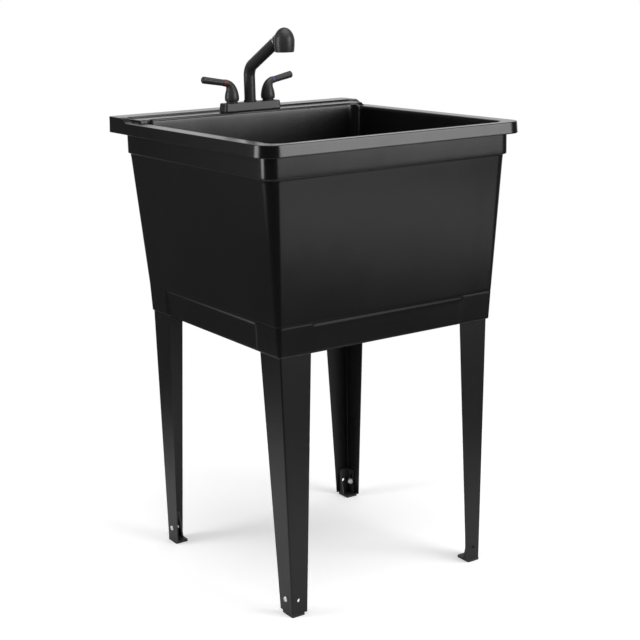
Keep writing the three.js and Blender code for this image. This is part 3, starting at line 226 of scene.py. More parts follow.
LOCK_NUT_HEIGHT = 10.0


# ---- Mesh helpers ----


def add_object(name, points, faces):
    """A mesh object from points in millimetres and faces by index."""
    mesh = bpy.data.meshes.new(name)
    scaled = [tuple(c * MM for c in p) for p in points]
    mesh.from_pydata(scaled, [], faces)
    mesh.update()
    made = bpy.data.objects.new(name, mesh)
    bpy.context.scene.collection.objects.link(made)
    return made


def turn_outwards(made):
    """Points every face of a closed mesh outwards."""
    bm = bmesh.new()
    bm.from_mesh(made.data)
    bmesh.ops.remove_doubles(bm, verts=bm.verts, dist=1e-7)
    bmesh.ops.recalc_face_normals(bm, faces=bm.faces)
    bm.to_mesh(made.data)
    bm.free()
    return made


def loft(name, rings, close_ends=True, closed_loop=False):
    """A skin over rings of equal point counts. Each ring holds 3-D points."""
    count = len(rings[0])
    points = [tuple(p) for ring in rings for p in ring]
    faces = []
    spans = len(rings) if closed_loop else len(rings) - 1
    for level in range(spans):
        low = level * count
        high = (level + 1) % len(rings) * count
        for i in range(count):
            j = (i + 1) % count
            faces.append((low + i, low + j, high + j, high + i))
    if close_ends and not closed_loop:
        faces.append(tuple(reversed(range(count))))
        faces.append(tuple(range(len(points) - count, len(points))))
    return turn_outwards(add_object(name, points, faces))


def lathe(name, profile, steps=64):
    """A solid of revolution about Z. The profile holds (radius, height) pairs."""
    on_axis = profile[0][0] == 0 and profile[-1][0] == 0
    rings = []
    for radius, height in profile:
        rings.append([(*polar(radius, 2 * pi * i / steps), height) for i in range(steps)])
    made = loft(name, rings, close_ends=False, closed_loop=not on_axis)
    if on_axis:
        turn_outwards(made)
    return made


def rounded(profile, radius, steps=4):
    """A closed profile with its corners rounded, for a lathe or an outline."""
    result = []
    count = len(profile)
    for i in range(count):
        here = Vector(profile[i])
        before = Vector(profile[i - 1]) - here
        after = Vector(profile[(i + 1) % count]) - here
        reach = min(radius, before.length * 0.45, after.length * 0.45)
        if here.x == 0 or reach < 1e-6 or before.length == 0 or after.length == 0:
            result.append(tuple(here))
            continue
        start = here + before.normalized() * reach
        end = here + after.normalized() * reach
        for step in range(steps + 1):
            t = step / steps
            point = start * (1 - t) ** 2 + here * 2 * t * (1 - t) + end * t**2
            result.append(tuple(point))
    return result


def ring_profile(inner, outer, bottom, top, radius):
    return rounded([(inner, bottom), (outer, bottom), (outer, top), (inner, top)], radius)


def prism(name, outline, z0, z1):
    """An upright block over a plane outline."""
    return loft(name, [[(x, y, z) for x, y in outline] for z in (z0, z1)])


def quarter(steps, first=0):
    """The angles of a quarter turn in even steps."""
    return [step / steps * pi / 2 for step in range(first, steps + 1)]


def rectangle(x0, x1, y0, y1):
    return [(x0, y0), (x1, y0), (x1, y1), (x0, y1)]


def block(name, x0, x1, y0, y1, z0, z1):
    return prism(name, rectangle(x0, x1, y0, y1), z0, z1)


def polar(radius, angle):
    return radius * cos(angle), radius * sin(angle)


def circle(radius, steps):
    return [polar(radius, i * (2 * pi / steps)) for i in range(steps)]


def disc(name, radius, z0, z1, steps=48):
    return prism(name, circle(radius, steps), z0, z1)


def shift(made, x=0.0, y=0.0, z=0.0):
    made.data.transform(Matrix.Translation((x * MM, y * MM, z * MM)))
    return made


def aim(made, origin, direction):
    """Turns a piece made along +Z so that it runs along a direction from an origin."""
    turn = Vector((0, 0, 1)).rotation_difference(Vector(direction).normalized())
    made.data.transform(turn.to_matrix().to_4x4())
    return shift(made, *origin)


def drill(radius, place, way):
    """A round cutter through a place, along a direction."""
    return aim(disc("hole", radius, -DRILL_REACH, DRILL_REACH, 32), place, way)


def apply_modifiers(made):
    graph = bpy.context.evaluated_depsgraph_get()
    mesh = bpy.data.meshes.new_from_object(made.evaluated_get(graph))
    old = made.data
    made.modifiers.clear()
    made.data = mesh
    bpy.data.meshes.remove(old)
    return made


def combine(made, tools, operation="DIFFERENCE"):
    """Cuts the tools from a piece, joins them to it or keeps what both share, and drops them."""
    for tool in tools:
        modifier = made.modifiers.new("combine", "BOOLEAN")
        modifier.operation = operation
        modifier.solver = "EXACT"
        modifier.object = tool
    apply_modifiers(made)
    for tool in tools:
        mesh = tool.data
        bpy.data.objects.remove(tool)
        bpy.data.meshes.remove(mesh)
    return made


def soften(made, width=0.0, segments=2, sharp=38.0):
    """Rounds hard edges by a small width in millimetres and shades the rest smooth."""
    if width:
        bevel = made.modifiers.new("edges", "BEVEL")
        bevel.width = width * MM
        bevel.segments = segments
        bevel.limit_method = "ANGLE"
        bevel.angle_limit = radians(BEVEL_ANGLE)
        bevel.harden_normals = False
        bevel.use_clamp_overlap = True
        apply_modifiers(made)
    mesh = made.data
    mesh.polygons.foreach_set("use_smooth", [True] * len(mesh.polygons))
    mesh.set_sharp_from_angle(angle=radians(sharp))
    weighted = made.modifiers.new("normals", "WEIGHTED_NORMAL")
    weighted.keep_sharp = True
    return apply_modifiers(made)


def seat(made, slot, body="stand", nodes=()):
    """Gives a piece its finish, its body and the CAD nodes that it stands for."""
    made.data.materials.clear()
    made.data.materials.append(MATERIALS[slot])
    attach(made, body)
    if nodes:
        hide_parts(*nodes)
    return made


def dress(made, slot, *nodes, body="stand", width=0.0, sharp=38.0):
    """Softens a piece's edges and seats it."""
    return seat(soften(made, width, sharp=sharp), slot, body, nodes)


def smooth_step(t):
    t = np.clip(t, 0.0, 1.0)
    return t * t * (3 - 2 * t)


# ---- Materials ----


GRAIN_DEPTH = 0.001
WAVE_STRETCH = (1, 1, 0.3)


def add_node(tree, kind, values):
    """A new shader node with its sockets set by name."""
    node = tree.nodes.new(kind)
    for name, value in values.items():
        node.inputs[name].default_value = value
    return node


def noise(tree, place, scale, detail):
    node = add_node(tree, "ShaderNodeTexNoise", {"Scale": scale, "Detail": detail})
    tree.links.new(place, node.inputs["Vector"])
    return node.outputs["Fac"]


def bump(tree, height, strength, distance):
    node = add_node(tree, "ShaderNodeBump", {"Strength": strength, "Distance": distance})
    tree.links.new(height, node.inputs["Height"])
    return node


def grained(name, color, roughness, metallic=0.0, grain=(900, 0.02), mottle=(9, 0.06),
            tint=0.12, specular=0.5, waves=None):
    """A finish with fine grain in its relief and slow drifts in its gloss and tone.

    grain is (scale per metre, bump strength) and mottle is (scale, roughness swing).
    waves is (scale, depth in metres) for the long shallow waves of a large moulding.
    """
    material = bpy.data.materials.new(name)
    material.use_nodes = True
    tree = material.node_tree
    link = tree.links.new
    shader = tree.nodes["Principled BSDF"]
    shader.inputs["Metallic"].default_value = metallic
    shader.inputs["Specular IOR Level"].default_value = specular
    place = tree.nodes.new("ShaderNodeTexCoord").outputs["Object"]
    drift = noise(tree, place, mottle[0], 4)
    low, high = roughness - mottle[1], roughness + mottle[1]
    gloss = add_node(tree, "ShaderNodeMapRange", {"To Min": low, "To Max": high})
    link(drift, gloss.inputs["Value"])
    link(gloss.outputs["Result"], shader.inputs["Roughness"])
    shades = [(*[c * share for c in color], 1) for share in (1 - tint, 1 + tint)]
    tone = add_node(tree, "ShaderNodeMixRGB", {"Color1": shades[0], "Color2": shades[1]})
    link(drift, tone.inputs["Fac"])
    link(tone.outputs["Color"], shader.inputs["Base Color"])
    fine = noise(tree, place, grain[0], 3)
    relief = bump(tree, fine, grain[1], GRAIN_DEPTH)
    link(relief.outputs["Normal"], shader.inputs["Normal"])
    if waves:
        draw = add_node(tree, "ShaderNodeMapping", {"Scale": WAVE_STRETCH})
        link(place, draw.inputs["Vector"])
        swell = noise(tree, draw.outputs["Vector"], waves[0], 2)
        moulded = bump(tree, swell, 1, waves[1])
        link(moulded.outputs["Normal"], relief.inputs["Normal"])
    return material


FINISHES = {
    "tub_plastic": dict(color=(0.0036, 0.0031, 0.0033), roughness=0.23, grain=(420, 0.05),
        mottle=(5, 0.04), waves=(14, 0.0012)),
    "leg_paint": dict(color=(0.004, 0.0038, 0.0039), roughness=0.33, grain=(1500, 0.06),
        mottle=(12, 0.03), specular=0.36, waves=(18, 0.0006)),
    "foot_plastic": dict(color=(0.012, 0.012, 0.012), roughness=0.5),
    "screw_steel": dict(color=(0.85, 0.85, 0.85), roughness=0.35, metallic=0.5, mottle=(60, 0.08)),
    "faucet_plastic": dict(color=(0.028, 0.028, 0.029), roughness=0.36,
        grain=(1700, 0.015), mottle=(20, 0.03), specular=0.34),
    "rubber": dict(color=(0.012, 0.012, 0.012), roughness=0.75, grain=(1800, 0.1)),
    "white_plastic": dict(color=(0.72, 0.72, 0.7), roughness=0.45),
    "brass": dict(color=(0.62, 0.42, 0.15), roughness=0.3, metallic=1.0, mottle=(50, 0.07)),
    "drain_plastic": dict(color=(0.018, 0.018, 0.019), roughness=0.4),
    "dock_metal": dict(color=(0.66, 0.66, 0.67), roughness=0.22, metallic=1.0, mottle=(80, 0.05)),
    "hot_red": dict(color=(0.095, 0.022, 0.021), roughness=0.42),
    "cold_blue": dict(color=(0.038, 0.036, 0.1), roughness=0.42),
    "hose_grey": dict(color=(0.12, 0.125, 0.13), roughness=0.45, grain=(2600, 0.5)),
}
MATERIALS = {name: grained(name, **finish) for name, finish in FINISHES.items()}


# ---- Tub ----

CORNER_STEPS = 12
SIDE_MARK = 3.0
SIDE_MARKS = 33
MIDDLE_MARKS = 11


def side_marks(length):
    """Places along one side: close together near both corners, sparse in the middle."""
    near = [SIDE_MARK * (i + 1) for i in range(SIDE_MARKS)]
    reach = near[-1]
    middle = np.linspace(reach, length - reach, MIDDLE_MARKS + 2)[1:-1]
    return near + list(middle) + [length - d for d in reversed(near)]


def plan(half_width, front, rear, front_radius, rear_radius, dense=True):
    """A rounded rectangle, anticlockwise from the right rear corner."""
    corners = [
        (half_width - rear_radius, rear - rear_radius, rear_radius),
        (-half_width + rear_radius, rear - rear_radius, rear_radius),
        (-half_width + front_radius, front + front_radius, front_radius),
        (half_width - front_radius, front + front_radius, front_radius),
    ]
    points = []
    for quarter, (x, y, radius) in enumerate(corners):
        for step in range(CORNER_STEPS + 1):
            angle = (quarter + step / CORNER_STEPS) * pi / 2
            points.append((x + radius * cos(angle), y + radius * sin(angle)))
        if not dense:
            continue
        next_x, next_y, next_radius = corners[(quarter + 1) % 4]
        angle = (quarter + 1) * pi / 2
        start = np.array(points[-1])
        end = np.array((
            next_x + next_radius * cos(angle), next_y + next_radius * sin(angle),
        ))
        length = np.linalg.norm(end - start)
        for mark in side_marks(length):
            points.append(tuple(start + (end - start) * mark / length))
    return np.array(points)


def taper_at(z):
    return (COLLAR_BOTTOM - z) / (COLLAR_BOTTOM - SKIRT_BOTTOM)


def body_at(z):
    """The half width, front and rear of the tapered body's outer faces at one height."""
    down = taper_at(z)
    return (
        RIM_WIDTH / 2 - SIDE_OVERHANG - COLLAR_STEP - SIDE_TAPER * down,
        -(RIM_DEPTH / 2 - FRONT_OVERHANG - COLLAR_STEP - FRONT_TAPER * down),
        RIM_DEPTH / 2 - REAR_OVERHANG - COLLAR_STEP - REAR_TAPER * down,
    )


def bowl_half_width_at(z):
    return BOWL_HALF_WIDTH - BOWL_SIDE_TAPER * (RIM_HEIGHT - z) / TUB_DEPTH


def bowl_rear_at(z):
    return BOWL_REAR - BOWL_REAR_TAPER * (RIM_HEIGHT - z) / TUB_DEPTH


DRAIN_Y = DRAIN_FROM_FRONT - RIM_DEPTH / 2


def round_drain(outline, radius):
    """The points of an outline pulled in to a circle round the drain."""
    centre = np.array([0, DRAIN_Y])
    away = outline - centre
    away /= np.linalg.norm(away, axis=1)[:, None]
    return centre + away * radius


def body_plan(z, inset=0.0, dense=True):
    half_width, front, rear = body_at(z)
    down = min(max(taper_at(z), 0.0), 1.0)
    line = taper_at(SKIRT_TOP)
    if down <= line:
        radius = BODY_TOP_RADIUS + (BODY_LOW_RADIUS - BODY_TOP_RADIUS) * down / line
        rear_radius = BODY_REAR_RADIUS
    else:
        below = (down - line) / (1 - line)
        radius = BODY_LOW_RADIUS + (SKIRT_FOOT_RADIUS - BODY_LOW_RADIUS) * below
        rear_radius = BODY_REAR_RADIUS + (SKIRT_FOOT_RADIUS - BODY_REAR_RADIUS) * below
    return plan(half_width - inset, front + inset, rear - inset,
                max(radius - inset, 1.0), max(rear_radius - inset, 1.0), dense)


def rim_plan(spread, rear_spread=None):
    if rear_spread is None:
        rear_spread = spread
    return plan(RIM_WIDTH / 2 + spread, -RIM_DEPTH / 2 - spread, RIM_DEPTH / 2 + rear_spread,
                RIM_FRONT_RADIUS + spread, max(RIM_REAR_RADIUS + spread, 1.0))


def collar_plan():
    """The outline of the upright collar that stands proud of the body."""
    half_width, front, rear = body_at(COLLAR_BOTTOM)
    return plan(half_width + COLLAR_STEP, front - COLLAR_STEP, rear + COLLAR_STEP,
                COLLAR_FRONT_RADIUS, COLLAR_REAR_RADIUS)


def bowl_plan(z, spread, dense=True):
    radius = max(BOWL_RADIUS + spread, 2.0)
    return plan(bowl_half_width_at(z) + spread, body_at(z)[1] + WALL - spread,
                bowl_rear_at(z) + spread, radius, radius, dense)


def with_height(outline, z):
    heights = np.broadcast_to(np.asarray(z, float), (len(outline),))
    return np.column_stack([outline, heights])


def top_height(x, y):
    """The height of the rim, ledge and faucet deck at one place."""
    slope = RIM_HEIGHT + LEDGE_HEIGHT * smooth_step((y - LEDGE_FACE + LEDGE_SLOPE) / LEDGE_SLOPE)
    step = smooth_step((y - LEDGE_FACE) / LEDGE_STEP_WIDTH + 0.5)
    begins = smooth_step((y - (BOWL_REAR - DECK_RISE_START)) / DECK_RISE_LENGTH)
    deck = RIM_HEIGHT + (DECK_TOP - RIM_HEIGHT + LEDGE_STEP * step) * begins
    inside = smooth_step((DECK_HALF + DECK_END_WIDTH / 2 - np.abs(x)) / DECK_END_WIDTH)
    return slope + (deck - slope) * inside


def skirt_relief(outline, z):
    """Sinks the panels between the leg pockets, and draws the groove above the skirt."""
    half_width, front, rear = body_at(z)
    x, y = outline[:, 0], outline[:, 1]
    below = smooth_step((SKIRT_TOP - z) / SKIRT_LINE_HEIGHT)
    groove = SKIRT_GROOVE * exp(-(((z - SKIRT_TOP) / SKIRT_GROOVE_WIDTH) ** 2))
    moved = outline.copy()
    on_front = y < front + SKIRT_FACE_MARGIN
    along = half_width - np.abs(x)
    sunk = SKIRT_RECESS * below * smooth_step((along - POCKET_LENGTH) / SKIRT_END_WIDTH + 0.5)
    moved[on_front, 1] += (sunk + groove)[on_front]
    on_side = np.abs(x) > half_width - SKIRT_FACE_MARGIN
    along = np.minimum(y - front, rear - y)
    sunk = SKIRT_RECESS * below * smooth_step((along - POCKET_LENGTH) / SKIRT_END_WIDTH + 0.5)
    moved[on_side, 0] -= (np.sign(x) * (sunk + groove))[on_side]
    in_corner = ~on_front & ~on_side & (y < 0)
    moved[in_corner, 0] -= (np.sign(x) * groove * SKIRT_CORNER_SHARE)[in_corner]
    moved[in_corner, 1] += groove * SKIRT_CORNER_SHARE
    return moved


def outer_rings():
    """From the skirt's foot up over the skirt line and the body to the rim's plate."""
    rings = []
    for inset, rise in ((3.4, 0.0), (1.6, 0.0), (0.5, 0.5), (0.0, 1.7)):
        z = SKIRT_BOTTOM + rise
        rings.append(with_height(skirt_relief(body_plan(z, inset), z), z))
    heights = list(np.linspace(SKIRT_BOTTOM + 6, SKIRT_TOP - 8, 7))
    heights += [SKIRT_TOP + d for d in (-6, -4.6, -3.4, -2.4, -1.6, -0.8, 0, 0.8, 1.6, 2.6, 4)]
    heights += list(np.linspace(SKIRT_TOP + 10, COLLAR_BOTTOM - 8, 16))
    for z in heights:
        rings.append(with_height(skirt_relief(body_plan(z), z), z))
    wall, collar = body_plan(COLLAR_BOTTOM), collar_plan()
    for rise, share in ((-4, 0), (-1.6, 0.03), (-0.6, 0.18), (-0.1, 0.43), (0, 0.65),
                        (0.5, 0.85), (1.3, 0.96), (2.6, 1)):
        rings.append(with_height(wall + (collar - wall) * share, COLLAR_BOTTOM + rise))
    for z in np.linspace(COLLAR_BOTTOM + 8, PLATE_UNDER, 6):
        rings.append(with_height(collar, z))
    return rings


def rim_rings():
    """Out under the plate, down inside the band, round its foot and up its outer face."""
    foot = RIM_HEIGHT - RIM_BAND
    inside = -BAND_WALL
    levels = [(inside - RIM_FLARE - 1, inside - 1, PLATE_UNDER),
              (inside - RIM_FLARE, inside, PLATE_UNDER - 1)]
    levels += [(spread, None, foot + rise) for spread, rise in (
        (inside, 1.2), (inside + 0.5, 0.3), (inside + 1.3, 0.0), (-1.0, 0.0), (-0.3, 0.35), (0, 1.2)
    )]
    rings = [with_height(rim_plan(spread, rear), z) for spread, rear, z in levels]
    edge = rim_plan(-RIM_FLARE, 0)
    edge_top = top_height(edge[:, 0], edge[:, 1])
    shoulder = edge_top - RIM_EDGE_ROUND
    for share in np.linspace(0.12, 1.0, 8):
        z = (foot + 1.2) + (shoulder - foot - 1.2) * share
        flare = np.clip((z - foot) / RIM_BAND, 0, 1)[:, None]
        rings.append(with_height(rim_plan(0) * (1 - flare) + edge * flare, z))
    for angle in quarter(5, 1):
        inset = RIM_EDGE_ROUND * (1 - cos(angle))
        outline = rim_plan(-RIM_FLARE - inset, -inset)
        rings.append(with_height(outline, shoulder + RIM_EDGE_ROUND * sin(angle)))
    return rings


def top_rings():
    """Across the rim, ledge and deck, and round the edge into the bowl."""
    outer = rim_plan(-RIM_FLARE - RIM_EDGE_ROUND, -RIM_EDGE_ROUND)
    inner = bowl_plan(RIM_HEIGHT, RIM_INNER_ROUND)
    rings = []
    for share in np.linspace(0, 1, 62)[1:]:
        outline = outer * (1 - share) + inner * share
        rings.append(with_height(outline, top_height(outline[:, 0], outline[:, 1])))
    edge = rings[-1][:, 2]
    for angle in quarter(8, 1):
        drop = RIM_INNER_ROUND * (1 - cos(angle))
        outline = bowl_plan(RIM_HEIGHT - drop, RIM_INNER_ROUND * (1 - sin(angle)))
        rings.append(with_height(outline, edge - drop))
    wall_top = edge - RIM_INNER_ROUND
    wall_foot = FLOOR_EDGE + FLOOR_ROUND
    for share in (0.02, 0.04, 0.08, 0.14, 0.22, 0.34, 0.5, 0.66, 0.82, 0.93, 1.0):
        nominal = RIM_HEIGHT - RIM_INNER_ROUND
        nominal += (wall_foot - nominal) * share
        z = wall_top + (wall_foot - wall_top) * share
        rings.append(with_height(bowl_plan(nominal, 0), z))
    return rings


def floor_rings():
    """Round the foot of the bowl's wall, down the floor and through the drain hole."""
    rings = []
    for step in range(1, 8):
        angle = (1 - step / 7) * pi / 2
        z = FLOOR_EDGE + FLOOR_ROUND * (1 - cos(angle))
        inset = FLOOR_ROUND * (1 - sin(angle))
        rings.append(with_height(bowl_plan(z, -inset), z))
    rim = rings[-1][:, :2]
    recess = round_drain(rim, DRAIN_RECESS_RADIUS)
    for share in (0.2, 0.4, 0.6, 0.8, 0.93, 1.0):
        z = FLOOR_EDGE - FLOOR_FALL * share
        rings.append(with_height(rim * (1 - share) + recess * share, z))
    seat_height = FLOOR_CENTRE - DRAIN_RECESS_DEPTH
    rings.append(with_height(recess, seat_height))
    hole = round_drain(rim, DRAIN_HOLE_RADIUS)
    return rings + [with_height(hole, z) for z in (seat_height, FLOOR_CENTRE - 30, SKIRT_BOTTOM)]


def pocket_blocks():
    """The blocks in the skirt's corners that hold the legs' tabs."""
    made = []
    top = SKIRT_BOTTOM + LEG_TAB_LENGTH + 3.2
    for side in (LEFT, RIGHT):
        for end in (FRONT, REAR):
            rings = []
            for z in (SKIRT_BOTTOM - 2, top):
                half_width, front, rear = body_at(z)
                corner_y = front if end == FRONT else rear
                corner = (side * (half_width + 2), corner_y + end * 2)
                reach, deep = POCKET_LENGTH + 2, POCKET_BLOCK + 2
                rings.append([
                    (corner[0] - side * a, corner[1] - end * b, z)
                    for a, b in ((0, 0), (reach, 0), (reach, deep), (deep, deep),
                                 (deep, reach), (0, reach))
                ])
            made.append(loft("pocket_block", rings))
    return made


def underside_void():
    """The open space inside the skirt and behind the bowl."""
    heights = (SKIRT_BOTTOM - 3, SKIRT_TOP, PLATE_UNDER)
    void = loft("void", [with_height(body_plan(z, WALL, False), z) for z in heights])
    shell = []
    for angle in quarter(5):
        z = FLOOR_EDGE + FLOOR_ROUND * (1 - cos(angle)) - WALL
        inset = FLOOR_ROUND * (1 - sin(angle))
        shell.append(with_height(bowl_plan(z, WALL - inset + 0.2, False), z))
    shell.insert(0, with_height(round_drain(shell[0][:, :2], 42), FLOOR_CENTRE - WALL))
    shell.append(with_height(bowl_plan(PLATE_UNDER + 5, WALL + 0.2, False), PLATE_UNDER + 5))
    half = ALCOVE_WIDTH / 2 + ALCOVE_WALL
    sleeve = block("sleeve", -half, half, BOWL_REAR - 60, RIM_DEPTH / 2,
                   SKIRT_BOTTOM - 10, PLATE_UNDER + 5)
    return combine(void, [loft("bowl_shell", shell), sleeve, *pocket_blocks()])


def alcove_void():
    half = ALCOVE_WIDTH / 2
    rear = RIM_DEPTH / 2 - REAR_OVERHANG + COLLAR_STEP
    rings = []
    for z in (SKIRT_BOTTOM - 4, DECK_TOP - PLATE):
        near = bowl_rear_at(z) + WALL
        rings.append(with_height(rectangle(-half, half, near, rear), z))
    return loft("alcove", rings)


def make_tub():
    rings = outer_rings() + rim_rings() + top_rings() + floor_rings()
    tub = loft("moulded_tub", rings, closed_loop=True)
    holes = [
        shift(disc("deck_hole", DECK_HOLE_RADIUS, DECK_TOP - 12, DECK_TOP + 4), x, FAUCET_Y)
        for x in (-HANDLE_X, 0, HANDLE_X)
    ]
    combine(tub, [underside_void(), alcove_void(), *holes])
    dress(tub, "tub_plastic", "tub", sharp=50)


# ---- Legs and feet ----


def fold_at(side, end, z):
    half_width, front, rear = body_at(SKIRT_BOTTOM)
    down = (SKIRT_BOTTOM - z) / SKIRT_BOTTOM
    if end == FRONT:
        return (
            side * (half_width - LEG_INSET - FRONT_LEG_SIDE_LEAN * down),
            front + LEG_INSET + FRONT_LEG_LEAN * down,
        )
    return (
        side * (half_width - LEG_INSET + REAR_LEG_SPREAD - REAR_LEG_SIDE_LEAN * down),
        rear - LEG_INSET - REAR_LEG_LEAN * down,
    )


def angle_outline(corner, side, end, lengths, sheet, bend):
    """A folded angle's section: both flanges run inwards from the bend."""
    length_x, length_y = lengths
    points = [(length_x, 0.0)]
    for angle in quarter(6):
        points.append((bend * (1 - sin(angle)), bend * (1 - cos(angle))))
    points += [(0.0, length_y), (sheet, length_y)]
    inner = max(bend - sheet, 0.4)
    for step in range(5):
        angle = (1 - step / 4) * pi / 2
        points.append((
            sheet + inner * (1 - sin(angle)), sheet + inner * (1 - cos(angle)),
        ))
    points.append((length_x, sheet))
    return [(corner[0] - side * a, corner[1] - end * b) for a, b in points]


def make_leg(side, end, name):
    rings = []
    for z in np.linspace(FOOT_LIFT, SKIRT_BOTTOM + LEG_TAB_LENGTH - 4, 9):
        up = z / SKIRT_BOTTOM
        lengths = (
            LEG_FOOT_FLANGE_X + (LEG_TOP_FLANGE_X - LEG_FOOT_FLANGE_X) * up,
            LEG_FOOT_FLANGE_Y + (LEG_TOP_FLANGE_Y - LEG_FOOT_FLANGE_Y) * up,
        )
        outline = angle_outline(fold_at(side, end, z), side, end, lengths, LEG_SHEET, LEG_BEND)
        rings.append([(x, y, z) for x, y in outline])
    leg = loft(f"folded_leg_{name}", rings)
    fold_x, fold_y = fold_at(side, end, LEG_HOLE_HEIGHT)
    in_side = (fold_x, fold_y - end * LEG_HOLE_SETBACK_Y, LEG_HOLE_HEIGHT)
    in_end = (fold_x - side * LEG_HOLE_SETBACK_X, fold_y, LEG_HOLE_HEIGHT)
    combine(leg, [drill(LEG_HOLE / 2, in_side, (1, 0, 0)), drill(LEG_HOLE / 2, in_end, (0, 1, 0))])
    dress(leg, "leg_paint", f"leg_{name}", width=0.35)


def make_foot(side, end, name):
    fold_x, fold_y = fold_at(side, end, 0)
    xs = sorted((fold_x, fold_x - side * FOOT_BASE_X))
    ys = sorted((fold_y, fold_y - end * FOOT_BASE_Y))
    foot = prism(f"levelling_foot_{name}", rounded(rectangle(*xs, *ys), 2.0), 0, FOOT_BASE)
    inner = LEG_SHEET + GAP
    rings = []
    for z in (FOOT_BASE - 1, FOOT_HEIGHT):
        x, y = fold_at(side, end, z)
        corner = (x - side * inner, y - end * inner)
        length = FOOT_FLANGE_LENGTH - inner
        section = angle_outline(corner, side, end, (length, length), FOOT_FLANGE, 1.2)
        rings.append([(a, b, z) for a, b in section])
    flanges = loft("flanges", rings)
    gusset_x = fold_x - side * FOOT_FLANGE_LENGTH
    top_y = fold_at(side, end, FOOT_HEIGHT)[1] - end * (inner + FOOT_FLANGE / 2)
    reach_y = top_y - end * FOOT_GUSSET_REACH
    profile = [(top_y, FOOT_BASE - 1), (reach_y, FOOT_BASE - 1), (reach_y, FOOT_BASE + 2),
               (top_y, FOOT_HEIGHT - 1)]
    near_x, far_x = sorted((gusset_x, gusset_x + side * FOOT_GUSSET))
    gusset = loft("gusset", [[(x, y, z) for y, z in profile] for x in (near_x, far_x)])
    combine(foot, [flanges, gusset], "UNION")
    hole_x, hole_y = fold_at(side, end, LEG_HOLE_HEIGHT)
    slot_y = hole_y - end * LEG_HOLE_SETBACK_Y
    radius = LEG_HOLE / 2
    turns = [i / 16 * pi for i in range(17)]
    slot = [(radius * cos(a), FOOT_TRAVEL + radius * sin(a)) for a in turns]
    slot += [(-radius * cos(a), -radius * sin(a)) for a in turns]
    slot_cut = loft("slot", [
        [(x, slot_y + a, LEG_HOLE_HEIGHT + b) for a, b in slot]
        for x in (hole_x - 12, hole_x + 12)
    ])
    spare_place = (hole_x - side * LEG_HOLE_SETBACK_X, hole_y, LEG_HOLE_HEIGHT)
    spare = drill(FOOT_SPARE_HOLE / 2, spare_place, (0, 1, 0))
    combine(foot, [slot_cut, spare])
    dress(foot, "foot_plastic", f"foot_{name}", body=f"foot_{name}", width=0.4)


def make_foot_screw(side, end, name):
    half = SCREW_HEAD / 2
    top = GAP + SCREW_HEAD_HEIGHT
    profile = [(0, -SCREW_LENGTH), (SCREW_SHANK / 2 - 0.6, -SCREW_LENGTH),
               (SCREW_SHANK / 2, -SCREW_LENGTH + 0.8), (SCREW_SHANK / 2, GAP), (half, GAP)]
    for step in range(9):
        angle = step / 8 * pi / 2
        radius = half * cos(angle) ** SCREW_HEAD_FULLNESS if step < 8 else 0
        rise = (top - GAP - SCREW_HEAD_EDGE) * sin(angle)
        profile.append((radius, GAP + SCREW_HEAD_EDGE + rise))
    screw = lathe(f"pan_screw_{name}", profile, 40)
    reach, half_slot = SCREW_SLOT_REACH, SCREW_SLOT_HALF
    combine(screw, [block("recess", -x, x, -y, y, top - SCREW_SLOT_DEPTH, top + 1)
                    for x, y in ((reach, half_slot), (half_slot, reach))])
    soften(screw, 0.12, sharp=40)
    x, y = fold_at(side, end, LEG_HOLE_HEIGHT)
    aim(screw, (x, y - end * LEG_HOLE_SETBACK_Y, LEG_HOLE_HEIGHT), (side, 0, 0))
    seat(screw, "screw_steel", nodes=[f"foot_screw_{name}"])


def hex_nut(name, across_flats, bore, height):
    """A six-sided nut with chamfered corners, standing on Z = 0."""
    corner = across_flats / 2 / cos(pi / 6)
    nut = prism(name, circle(corner, 6), 0, height)
    drop = (corner - across_flats / 2) * 0.9
    cone = lathe("cone", [(0, -0.1), (across_flats / 2, -0.1), (corner + 0.3, drop),
                          (corner + 0.3, height - drop), (across_flats / 2, height + 0.1),
                          (0, height + 0.1)], 72)
    combine(nut, [cone], "INTERSECT")
    return combine(nut, [disc("bore", bore / 2, -1, height + 1)])


# ---- Faucet ----

FAUCET_Y = LEDGE_FACE - FAUCET_FROM_LEDGE
BASE_BOTTOM = DECK_TOP + GASKET_HEIGHT
BASE_TOP = BASE_BOTTOM + BASE_HEIGHT
SPOUT_CORNER = Vector((0, 0, BASE_TOP + SPOUT_CORNER_HEIGHT))
ARM = Vector((0, -cos(SPOUT_RISE), sin(SPOUT_RISE)))
DOCK = SPOUT_ARM + 2.4


def along_arm(made):
    """Moves a piece made along +Z from the origin onto the spout's arm."""
    return aim(made, SPOUT_CORNER + Vector((0, FAUCET_Y, 0)), ARM)


def make_faucet_base():
    rings = []
    straight = BASE_TOP - BASE_BOTTOM - BASE_TOP_ROUND
    for rise, inset in ((0.0, 0.4), (0.3, 0), (straight * 0.35, 0), (straight * 0.7, 0),
                        (straight, 0)):
        share = rise / straight
        rings.append((rise, BASE_END_DRAFT * share + inset, BASE_SIDE_DRAFT * share + inset))
    for angle in quarter(5, 1):
        inward = BASE_TOP_ROUND * (1 - cos(angle))
        rings.append((straight + BASE_TOP_ROUND * sin(angle),
                      BASE_END_DRAFT + inward, BASE_SIDE_DRAFT + inward))
    outlines = []
    for rise, ends, sides in rings:
        radius = BASE_CORNER - sides
        outline = plan(BASE_HALF_LENGTH - ends, -BASE_HALF_WIDTH + sides,
                       BASE_HALF_WIDTH - sides, radius, radius, dense=False)
        outlines.append([(x, y + FAUCET_Y, BASE_BOTTOM + rise) for x, y in outline])
    base = loft("base_block", outlines)
    bores = ((-HANDLE_X, BASE_VALVE_BORE), (HANDLE_X, BASE_VALVE_BORE), (0, BASE_SPOUT_BORE))
    combine(base, [shift(disc("bore", radius, BASE_BOTTOM - 1, BASE_TOP + 1), x, FAUCET_Y)
                   for x, radius in bores])
    dress(base, "faucet_plastic", "faucet_base", sharp=40)


